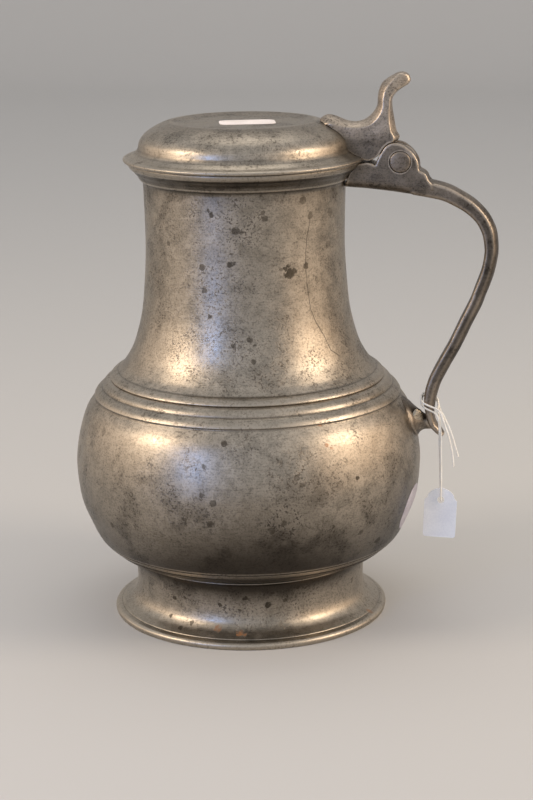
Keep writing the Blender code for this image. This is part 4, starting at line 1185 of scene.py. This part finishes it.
ear_line = smooth_line(at_block(EAR), 5)
block_outline = (
    at_block(BLOCK_FRONT) + [tuple(p) for p in ear_line] + at_block(BLOCK_BACK) + at_block(BLOCK_UNDER)
)
handle_skin = one_skin(
    "strap_handle",
    [strap_mesh("strap"), plate("block", block_outline, HINGE_WIDTH / 2, BLOCK_BEVEL)], VOXEL, 5
)
slot_outline = (
    circle(PIN_X, PIN_Z, KNUCKLE_RADIUS + RUNNING_GAP, math.radians(178), math.radians(354))
    + circle(PIN_X, PIN_Z, SLOT_RADIUS, math.radians(354), math.radians(538))
)
handle_cutters = [
    plate("slot", slot_outline, KNUCKLE_WIDTH / 2 + JOINT_GAP),
    plate("bore", circle(PIN_X, PIN_Z, PIN_RADIUS + JOINT_GAP), HINGE_WIDTH),
]
for side in (-1, 1):
    seat = plate("seat", circle(PIN_X, PIN_Z, CAP_RADIUS + JOINT_GAP), CAP_DEPTH)
    seat.transform(Matrix.Translation((0, side * HINGE_WIDTH / 2 * MM, 0)))
    handle_cutters.append(seat)
waver(handle_skin, 9.0, 0.12)
seat_on_vessel(handle_skin, JOINT_GAP)
handle_cut = join_or_cut("strap_handle", handle_skin, handle_cutters, "DIFFERENCE")
cast_piece("strap_handle", handle_cut, "handle", "vessel")

# %% [markdown]
# ### The strut
# A short stay joins the belly to the handle's foot. It flares where it is soldered to the belly.

# %% Strut
# each section: outwards over the length, up and swell over the flare's radius, lean in degrees
STRUT = [
    (-0.28, 0.05, 1.12, 16), (0.06, -0.07, 1.0, 16), (0.27, -0.135, 0.74, 12), (0.505, -0.20, 0.545, 6),
    (0.74, -0.27, 0.41, 0), (1.08, -0.29, 0.38, 0),
]


def strut_mesh(name):
    sections = []
    for out, up, swell, lean in smooth_line(STRUT, 5):
        x = STRAP_FOOT_X - STRUT_LENGTH + out * STRUT_LENGTH
        z = STRUT_HEIGHT + up * FLARE_RADIUS
        radius, lean = swell * FLARE_RADIUS, math.radians(lean)
        sections.append([
            (
                (AXIS_X + x - radius * math.sin(a) * math.sin(lean)) * MM,
                radius * math.cos(a) * MM,
                (z + radius * math.sin(a) * math.cos(lean)) * MM,
            )
            for a in (math.tau * k / 40 for k in range(40))
        ])
    return loft(name, sections)


strut_skin = one_skin("belly_strut", [strut_mesh("strut")], VOXEL, 4)
waver(strut_skin, 6.0, 0.25)
seat_on_vessel(strut_skin, 0.0)
strut_cut = join_or_cut("belly_strut", strut_skin, [strap_mesh("strap", 0.05)], "DIFFERENCE")
cast_piece("belly_strut", strut_cut, "strut", "vessel")

# %% [markdown]
# ### The thumbpiece
# The thumbpiece grows from a toe on the lid, dips, and rises to a curled tip for the thumb. It is
# a loft, because its section changes all the way: wide and ridged on the lid, slim in the stem,
# and thin where it curls over. The lid's knuckle hangs below it between the ears.

# %% Thumbpiece
BRACKET_REACH = 42.2
THUMB_HEIGHT = 46.9
THUMB_VOXEL = 0.5 * MM
# each section: its front's edge and middle, its back's edge and middle, and its width
THUMB = [
    ((-0.976, 0.407), (-1.000, 0.467), (-0.941, 0.356), (-0.941, 0.356), 0.43),
    ((-0.929, 0.420), (-0.941, 0.507), (-0.874, 0.324), (-0.874, 0.324), 0.82),
    ((-0.858, 0.429), (-0.870, 0.520), (-0.787, 0.239), (-0.787, 0.239), 1.00),
    ((-0.761, 0.414), (-0.773, 0.495), (-0.621, 0.111), (-0.621, 0.111), 1.00),
    ((-0.666, 0.394), (-0.668, 0.456), (-0.455, 0.028), (-0.455, 0.028), 1.00),
    ((-0.562, 0.386), (-0.562, 0.439), (-0.336, 0.019), (-0.336, 0.019), 1.00),
    ((-0.460, 0.390), (-0.464, 0.454), (-0.182, 0.122), (-0.182, 0.122), 1.00),
    ((-0.355, 0.414), (-0.384, 0.493), (-0.050, 0.249), (0.004, 0.249), 1.00),
    ((-0.273, 0.473), (-0.322, 0.548), (-0.085, 0.337), (-0.030, 0.337), 1.00),
    ((-0.218, 0.548), (-0.284, 0.603), (-0.107, 0.431), (-0.052, 0.431), 1.00),
    ((-0.194, 0.618), (-0.270, 0.646), (-0.109, 0.540), (-0.073, 0.540), 0.99),
    ((-0.190, 0.691), (-0.268, 0.706), (-0.102, 0.650), (-0.088, 0.650), 0.96),
    ((-0.178, 0.757), (-0.256, 0.783), (-0.092, 0.710), (-0.078, 0.704), 0.92),
    ((-0.147, 0.823), (-0.216, 0.868), (-0.069, 0.748), (-0.055, 0.740), 0.85),
    ((-0.104, 0.876), (-0.156, 0.919), (-0.033, 0.785), (-0.021, 0.774), 0.77),
    ((-0.052, 0.932), (-0.090, 0.957), (0.009, 0.817), (0.021, 0.804), 0.67),
    ((0.007, 0.972), (-0.007, 0.994), (0.055, 0.842), (0.066, 0.832), 0.56),
    ((0.066, 0.981), (0.066, 0.996), (0.097, 0.864), (0.111, 0.857), 0.45),
    ((0.114, 0.958), (0.121, 0.970), (0.132, 0.896), (0.142, 0.892), 0.34),
    ((0.134, 0.936), (0.139, 0.940), (0.142, 0.918), (0.146, 0.917), 0.19),
]
WEB_RADIUS = 15.0


def thumb_mesh(name):
    lines = [
        smooth_line([
            (BLOCK_X + row[k][0] * BRACKET_REACH, PIN_Z + row[k][1] * THUMB_HEIGHT) for row in THUMB
        ], 4)
        for k in range(4)
    ]
    widths = smooth_line([(row[4], 0) for row in THUMB], 4)[:, 0]
    sections = []
    for front, front_ridge, back, back_ridge, width in zip(*lines, widths):
        half = width * HINGE_WIDTH / 2
        section = []
        for k in range(13):
            share = k / 6 - 1
            place = front + (1 - share ** 2) * (front_ridge - front)
            section.append((place[0], share * half, place[1]))
        for k in range(9):
            share = 1 - k / 4
            place = back + (1 - abs(share) ** 1.6) * (back_ridge - back)
            section.append((place[0], share * half, place[1]))
        sections.append([((AXIS_X + x) * MM, y * MM, z * MM) for x, y, z in section])
    return loft(name, sections)


knuckle_outline = circle(PIN_X, PIN_Z, KNUCKLE_RADIUS, math.radians(172), math.radians(462))
knuckle_outline += circle(PIN_X, PIN_Z, WEB_RADIUS, math.radians(108), math.radians(160), 8)
thumb_skin = one_skin("curled_thumbpiece", [thumb_mesh("thumb")], THUMB_VOXEL, 4)
waver(thumb_skin, 7.0, 0.12)
seat_on_lid(thumb_skin, JOINT_GAP)
notch = [tuple(p) for p in beside(ear_line, RUNNING_GAP)]
notch += [(notch[-1][0], PIN_Z - EAR_RADIUS), (notch[0][0], PIN_Z - EAR_RADIUS)]
notch_plate = plate("notch", notch, HINGE_WIDTH)
bore_plate = plate("bore", circle(PIN_X, PIN_Z, PIN_RADIUS + JOINT_GAP), HINGE_WIDTH)
thumb_cut = join_or_cut("curled_thumbpiece", thumb_skin, [notch_plate], "DIFFERENCE")
knuckle_plate = plate("knuckle", knuckle_outline, KNUCKLE_WIDTH / 2)
knuckle_bored = join_or_cut("knuckle", knuckle_plate, [bore_plate], "DIFFERENCE")
thumb_done = join_or_cut("curled_thumbpiece", thumb_cut, [knuckle_bored], "UNION")
cast_piece("curled_thumbpiece", thumb_done, "thumbpiece", "lid_with_thumbpiece")

# %% [markdown]
# ### Pin, caps and floor of the bowl
# The hinge pin's two ends are flattened into low round caps, filed almost flush with the ears. The
# pin between them and the disc that closes the bowl keep their CAD shape, and only take a finish.

# %% Caps and kept nodes
CAP_PROUD = 0.8
CAP_STEPS = 56
cap_profile = rounded([
    (0.0, 0.95), (CAP_RADIUS * 0.55, 0.90), (CAP_RADIUS * 0.86, 0.62), (CAP_RADIUS, 0.10),
    (CAP_RADIUS, -CAP_DEPTH),
], 0.5)


def cap_mesh(name, side):
    """A low domed cap on the hinge's line, with its flat back inside the ear."""
    verts, faces = [], []
    ring = cap_profile[1:]
    for k in range(CAP_STEPS):
        a = math.tau * k / CAP_STEPS
        for r, out in ring:
            r = r + 0.10 * noise.noise(Vector((math.cos(a) * 1.3, math.sin(a) * 1.3, side * 2 + out)))
            verts.append((
                (AXIS_X + PIN_X + r * math.cos(a)) * MM,
                side * (HINGE_WIDTH / 2 + (out * CAP_PROUD if out > 0 else out)) * MM,
                (PIN_Z + r * math.sin(a)) * MM,
            ))
    count = len(ring)
    for k in range(CAP_STEPS):
        here, there = k * count, (k + 1) % CAP_STEPS * count
        for i in range(count - 1):
            faces.append((here + i, here + i + 1, there + i + 1, there + i))
    for row, out in ((0, cap_profile[0][1] * CAP_PROUD), (count - 1, -CAP_DEPTH)):
        verts.append(((AXIS_X + PIN_X) * MM, side * (HINGE_WIDTH / 2 + out) * MM, PIN_Z * MM))
        for k in range(CAP_STEPS):
            faces.append((len(verts) - 1, k * count + row, (k + 1) % CAP_STEPS * count + row))
    return closed_mesh(name, verts, faces)


for cap_name, cap_node, side in (("near_cap", "pin_cap_near", -1), ("far_cap", "pin_cap_far", 1)):
    cast_piece(cap_name, cap_mesh(cap_name, side), cap_node, "vessel", 0.12 * MM, pin_pewter)
for node_name, finish in (("hinge_pin", pin_pewter), ("base_disc", turned_pewter)):
    frame["nodes"][node_name].data.materials.clear()
    frame["nodes"][node_name].data.materials.append(finish)

# %% [markdown]
# ### Card, label and sticker
# The tag is a die-cut card with a round shoulder and a punched hole. It curls a little, as thin
# card does. The lid's label and the belly's sticker are bare paper that lies on the metal, so
# each is a patch of the surface below it, moved out by its own thickness.

# %% Tag card
CARD_WIDTH, CARD_HEIGHT, CARD_THICKNESS = 17.8, 28.1, 0.5
CARD_SHOULDER, CARD_CORNER = 5.6, 1.6
CARD_HOLE_RADIUS, CARD_HOLE_DROP = 1.9, 6.8
CARD_TILT = math.radians(2.5)
PAPER_ANGLE = math.radians(40)   # a paper's edge is sharp, and its face is smooth
CARD_PLACE = (
    AXIS_X + STRAP_FOOT_X + 0.141 * STRING_DROP, -0.964 * LOOP_HALF_WIDTH,
    STRUT_HEIGHT - 1.007 * STRING_DROP,
)


def card_outline():
    """The card's edge about its hole, in millimetres: round corners below, a shoulder above."""
    half = CARD_WIDTH / 2
    base = CARD_HOLE_DROP - CARD_HEIGHT
    points = []
    for side, start in ((1, -math.pi / 2), (-1, math.pi)):
        arc = [
            (side * (half - CARD_CORNER) + CARD_CORNER * math.cos(start + math.pi / 2 * k / 6),
             base + CARD_CORNER + CARD_CORNER * math.sin(start + math.pi / 2 * k / 6)) for k in range(7)
        ]
        points.append(arc)
    shoulder = CARD_HOLE_DROP - CARD_SHOULDER
    top = [
        ((half - CARD_CORNER) * math.cos(a) * abs(math.cos(a)) ** 0.3, shoulder + CARD_SHOULDER * math.sin(a))
        for a in (math.pi * k / 24 for k in range(25))
    ]
    return points[0] + [(half, shoulder - CARD_CORNER)] + top + [(-half, shoulder - CARD_CORNER)] + points[1]


def card_mesh(name):
    """The card's outline with its hole, filled with small faces, bent, and given its thickness."""
    form = bmesh.new()
    edges = []
    for loop in (card_outline(), circle(0.0, 0.0, CARD_HOLE_RADIUS, steps=32)):
        ring = [form.verts.new((x, 0, z)) for x, z in loop]
        edges += [form.edges.new((ring[k], ring[(k + 1) % len(ring)])) for k in range(len(ring))]
    bmesh.ops.triangle_fill(form, use_beauty=True, edges=edges)
    for level in (20, 14, 10, 7, 5, 3.5, 2.5):
        long_edges = [e for e in form.edges if e.calc_length() > level and not e.is_boundary]
        bmesh.ops.subdivide_edges(form, edges=long_edges, cuts=1)
        bmesh.ops.triangulate(form, faces=form.faces)
        bmesh.ops.beautify_fill(form, faces=form.faces, edges=[e for e in form.edges if not e.is_boundary])
    bmesh.ops.recalc_face_normals(form, faces=form.faces)
    front = list(form.faces)
    made = bmesh.ops.extrude_face_region(form, geom=front)["geom"]
    lifted = {v for v in made if isinstance(v, bmesh.types.BMVert)}
    for vert in form.verts:
        x, z = vert.co.x, vert.co.z
        curl = 0.25 * (x / (CARD_WIDTH / 2)) ** 2 * (0.4 - z / CARD_HEIGHT)
        curl += 0.12 * noise.noise(Vector((x, z, 3)) / 9)
        vert.co.y = CARD_THICKNESS / 2 * (1 if vert in lifted else -1) - curl
    bmesh.ops.recalc_face_normals(form, faces=form.faces)
    mesh = mesh_from(name, form)
    mesh.transform(
        Matrix.Translation(Vector(CARD_PLACE) * MM) @ Matrix.Rotation(CARD_TILT, 4, "Y") @ Matrix.Scale(MM, 4)
    )
    return mesh


card_piece = add_object("strung_card", card_mesh("strung_card"), card_paper)
card_piece.data.shade_smooth()
card_piece.data.set_sharp_from_angle(angle=PAPER_ANGLE)
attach(card_piece, "vessel")
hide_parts("tag_card")
print("the card has", len(card_piece.data.polygons), "faces")

# %% Label, sticker and solder
LABEL_SIZE = 15.0, 9.5     # half its length and half its width, in millimetres
LABEL_PLACE = 2.1, -0.3
LABEL_TURN = math.radians(12.0)
LABEL_SQUARENESS, STICKER_SQUARENESS = 0.35, 1.0   # 1 is an ellipse, and near 0 a rectangle
STICKER_SIZE = 15.0, 12.5
STICKER_PLACE = -8.0, 63.5      # degrees round the axis, and height
SOLDER_PLACE = AXIS_X + 94.0, -5.6, 111.0
PAPER = 0.14             # how far a paper's face lies above the metal
PAPER_SUNK = 0.12        # how far its back lies inside, so that no gap shows
PAPER_RINGS = 14
PAPER_STEPS = 72


def patch_mesh(name, half, squareness, at):
    """A closed patch of paper; at(u, v, out) gives the place of its point in millimetres."""
    verts, faces, steps = [], [], PAPER_STEPS
    for out in (PAPER, -PAPER_SUNK):
        for k in range(1, PAPER_RINGS + 1):
            for i in range(steps):
                a = math.tau * i / steps
                u, v = (math.copysign(abs(w) ** squareness, w) for w in (math.cos(a), math.sin(a)))
                verts.append(at(half[0] * u * k / PAPER_RINGS, half[1] * v * k / PAPER_RINGS, out) * MM)
    for base in (0, PAPER_RINGS * steps):
        verts.append(at(0, 0, PAPER if base == 0 else -PAPER_SUNK) * MM)
        for i in range(steps):
            j = (i + 1) % steps
            faces.append((len(verts) - 1, base + i, base + j))
            for k in range(PAPER_RINGS - 1):
                row, following = base + k * steps, base + (k + 1) * steps
                faces.append((row + i, following + i, following + j, row + j))
    top, under = (PAPER_RINGS - 1) * steps, (2 * PAPER_RINGS - 1) * steps
    faces += [(top + i, under + i, under + (i + 1) % steps, top + (i + 1) % steps) for i in range(steps)]
    mesh = closed_mesh(name, verts, faces)
    mesh.shade_smooth()
    mesh.set_sharp_from_angle(angle=PAPER_ANGLE)
    return mesh


def on_lid(u, v, out):
    c, s = math.cos(LABEL_TURN), math.sin(LABEL_TURN)
    x, y = LABEL_PLACE[0] + c * u - s * v, LABEL_PLACE[1] + s * u + c * v
    return Vector((AXIS_X + x, y, lid_points[0][1] + out))


def on_belly(u, v, out):
    height = STICKER_PLACE[1] + v
    r = radius_at(height)
    a = math.radians(STICKER_PLACE[0]) + u / BELLY_RADIUS
    r += dent_at(Vector((r * math.cos(a), r * math.sin(a), height))) + out
    return Vector((AXIS_X + r * math.cos(a), r * math.sin(a), height))


def solder_mesh(name):
    """A small smear of solder on the strut's root, flat on the belly and a little lumpy."""
    form = bmesh.new()
    bmesh.ops.create_icosphere(form, subdivisions=4, radius=1.0)
    for vert in form.verts:
        lump = 1 + 0.30 * noise.noise(vert.co * 1.3 + Vector((4, 2, 9))) + 0.08 * noise.noise(vert.co * 6)
        along, out, up = 3.4 * lump * vert.co.x, 1.5 * lump * vert.co.y, 5.2 * lump * vert.co.z
        x, y, z = SOLDER_PLACE
        vert.co = Vector((x + along + 0.35 * out, y + 0.6 * along + out, z + up - 0.3 * along)) * MM
    mesh = mesh_from(name, form)
    mesh.shade_smooth()
    return mesh


label = patch_mesh("lid_label", LABEL_SIZE, LABEL_SQUARENESS, on_lid)
sticker = patch_mesh("belly_sticker", STICKER_SIZE, STICKER_SQUARENESS, on_belly)
for piece_name, mesh, material, body, slot in (
    ("lid_label", label, label_paper, "lid_with_thumbpiece", "paper_card"),
    ("belly_sticker", sticker, sticker_paper, "vessel", "paper_card"),
    ("strut_solder", solder_mesh("strut_solder"), solder, "vessel", "cast_pewter"),
):
    piece = add_object(piece_name, mesh, material)
    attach(piece, body)
    print(piece_name, "has", len(mesh.polygons), "faces")

# %% [markdown]
# ## The floor, the backdrop and the light
# A pale sweep carries the flagon: one sheet that runs from the floor up to the backdrop in a wide
# bend, so that no line shows where they meet. Two soft lamps stand left and right of the camera, a
# little above it, and give the round body its two pairs of highlights. A dim warm wall lies beyond
# the floor's edge on each side and fills the sides of the neck. A narrow window at the left of the
# camera, with one bright pane, adds a cooler band, and a cloth overhead lights the lid's flat top.

# %% Stage and light
# all sizes of the stage are in metres
FLOOR_SIZE = 6.0
SWEEP_START = 2.6        # how far behind the frame's origin the bend starts
SWEEP_TURN = 0.6         # the radius of the bend from floor to backdrop
SWEEP_STEPS = 16
SWEEP_TOP = 4.0
PAINTED_LIGHT_TOP = 1.2          # the height at which the sweep has reached its lighter tone
AIM_HEIGHT = 0.15        # where the lights point, on the vessel's axis
sweep_material, sweep_tree, sweep_shader = new_material("pale_sweep")
sweep_place = add_node(sweep_tree, "ShaderNodeTexCoord").outputs["Object"]
# painted light: the sweep's colour grows lighter as it rises, standing in for the light that the backdrop gets
# too little of
sweep_height = add_node(sweep_tree, "ShaderNodeSeparateXYZ", {0: sweep_place}).outputs["Z"]
sweep_painted_light_share = ranged(sweep_tree, sweep_height, 0.0, PAINTED_LIGHT_TOP)
sweep_painted_light = mixed(sweep_tree, sweep_painted_light_share, hex_colour("#b9b9b8"), hex_colour("#e6e6e4"))
sweep_tree.links.new(sweep_painted_light, sweep_shader.inputs["Base Color"])
sweep_shader.inputs["Roughness"].default_value = 0.9
sweep_bend = circle(SWEEP_START, SWEEP_TURN, SWEEP_TURN, -math.pi / 2, 0.0, SWEEP_STEPS)
sweep_points = [(-FLOOR_SIZE, 0.0), *sweep_bend, (SWEEP_START + SWEEP_TURN, SWEEP_TOP)]
sweep_mesh = bpy.data.meshes.new("sweep")
sweep_verts = [(side * FLOOR_SIZE, y, z) for y, z in sweep_points for side in (-1, 1)]
sweep_mesh.from_pydata(sweep_verts, [], [
    (2 * k, 2 * k + 1, 2 * k + 3, 2 * k + 2) for k in range(len(sweep_points) - 1)
])
sweep_mesh.shade_smooth()
add_object("pale_sweep", sweep_mesh, sweep_material)

world = bpy.data.worlds.new("studio")
bpy.context.scene.world = world
world.use_nodes = True
background = world.node_tree.nodes["Background"]
background.inputs["Color"].default_value = hex_colour("#dcdde0")
background.inputs["Strength"].default_value = 0.95


def soft_light(name, degrees, rise, distance, size, radiance, colour):
    """A soft light, placed round the flagon by its direction and given its brightness."""
    data = bpy.data.lights.new(name, "AREA")
    data.shape = "RECTANGLE"
    data.size, data.size_y = size
    data.energy = radiance * size[0] * size[1] * math.pi
    data.color = hex_colour(colour)[:3]
    a, e = math.radians(degrees), math.radians(rise)
    aim = Vector((AXIS_X * MM, 0, AIM_HEIGHT))
    way = Vector((math.cos(e) * math.cos(a), math.cos(e) * math.sin(a), math.sin(e)))
    lamp = bpy.data.objects.new(name, data)
    lamp.location = aim + distance * way
    lamp.rotation_euler = (aim - lamp.location).to_track_quat("-Z", "Y").to_euler()
    lamp.visible_camera = False
    bpy.context.scene.collection.objects.link(lamp)


# name, degrees round the axis, rise, distance, width and height, radiance and colour
soft_light("left_lamp", -151, 26, 1.3, (0.54, 0.54), 8.6, "#ffe9cf")
soft_light("right_lamp", -11, 26, 1.3, (0.54, 0.54), 8.6, "#ffe9cf")
soft_light("left_wall", 176, 4, 6.4, (9.6, 4.8), 0.70, "#ffd6a4")
soft_light("right_wall", 6, 4, 6.4, (10.4, 4.8), 1.30, "#ffd29c")
soft_light("day_window", -117, 8, 1.25, (0.26, 0.54), 3.6, "#8fb2f8")
soft_light("window_pane", -119, 14, 1.25, (0.10, 0.14), 18, "#8fb2f8")
soft_light("top_cloth", 90, 75, 1.5, (1.0, 0.7), 1.5, "#fff6ea")
print("the sweep is", 2 * FLOOR_SIZE, "m wide and", SWEEP_TOP, "m high")
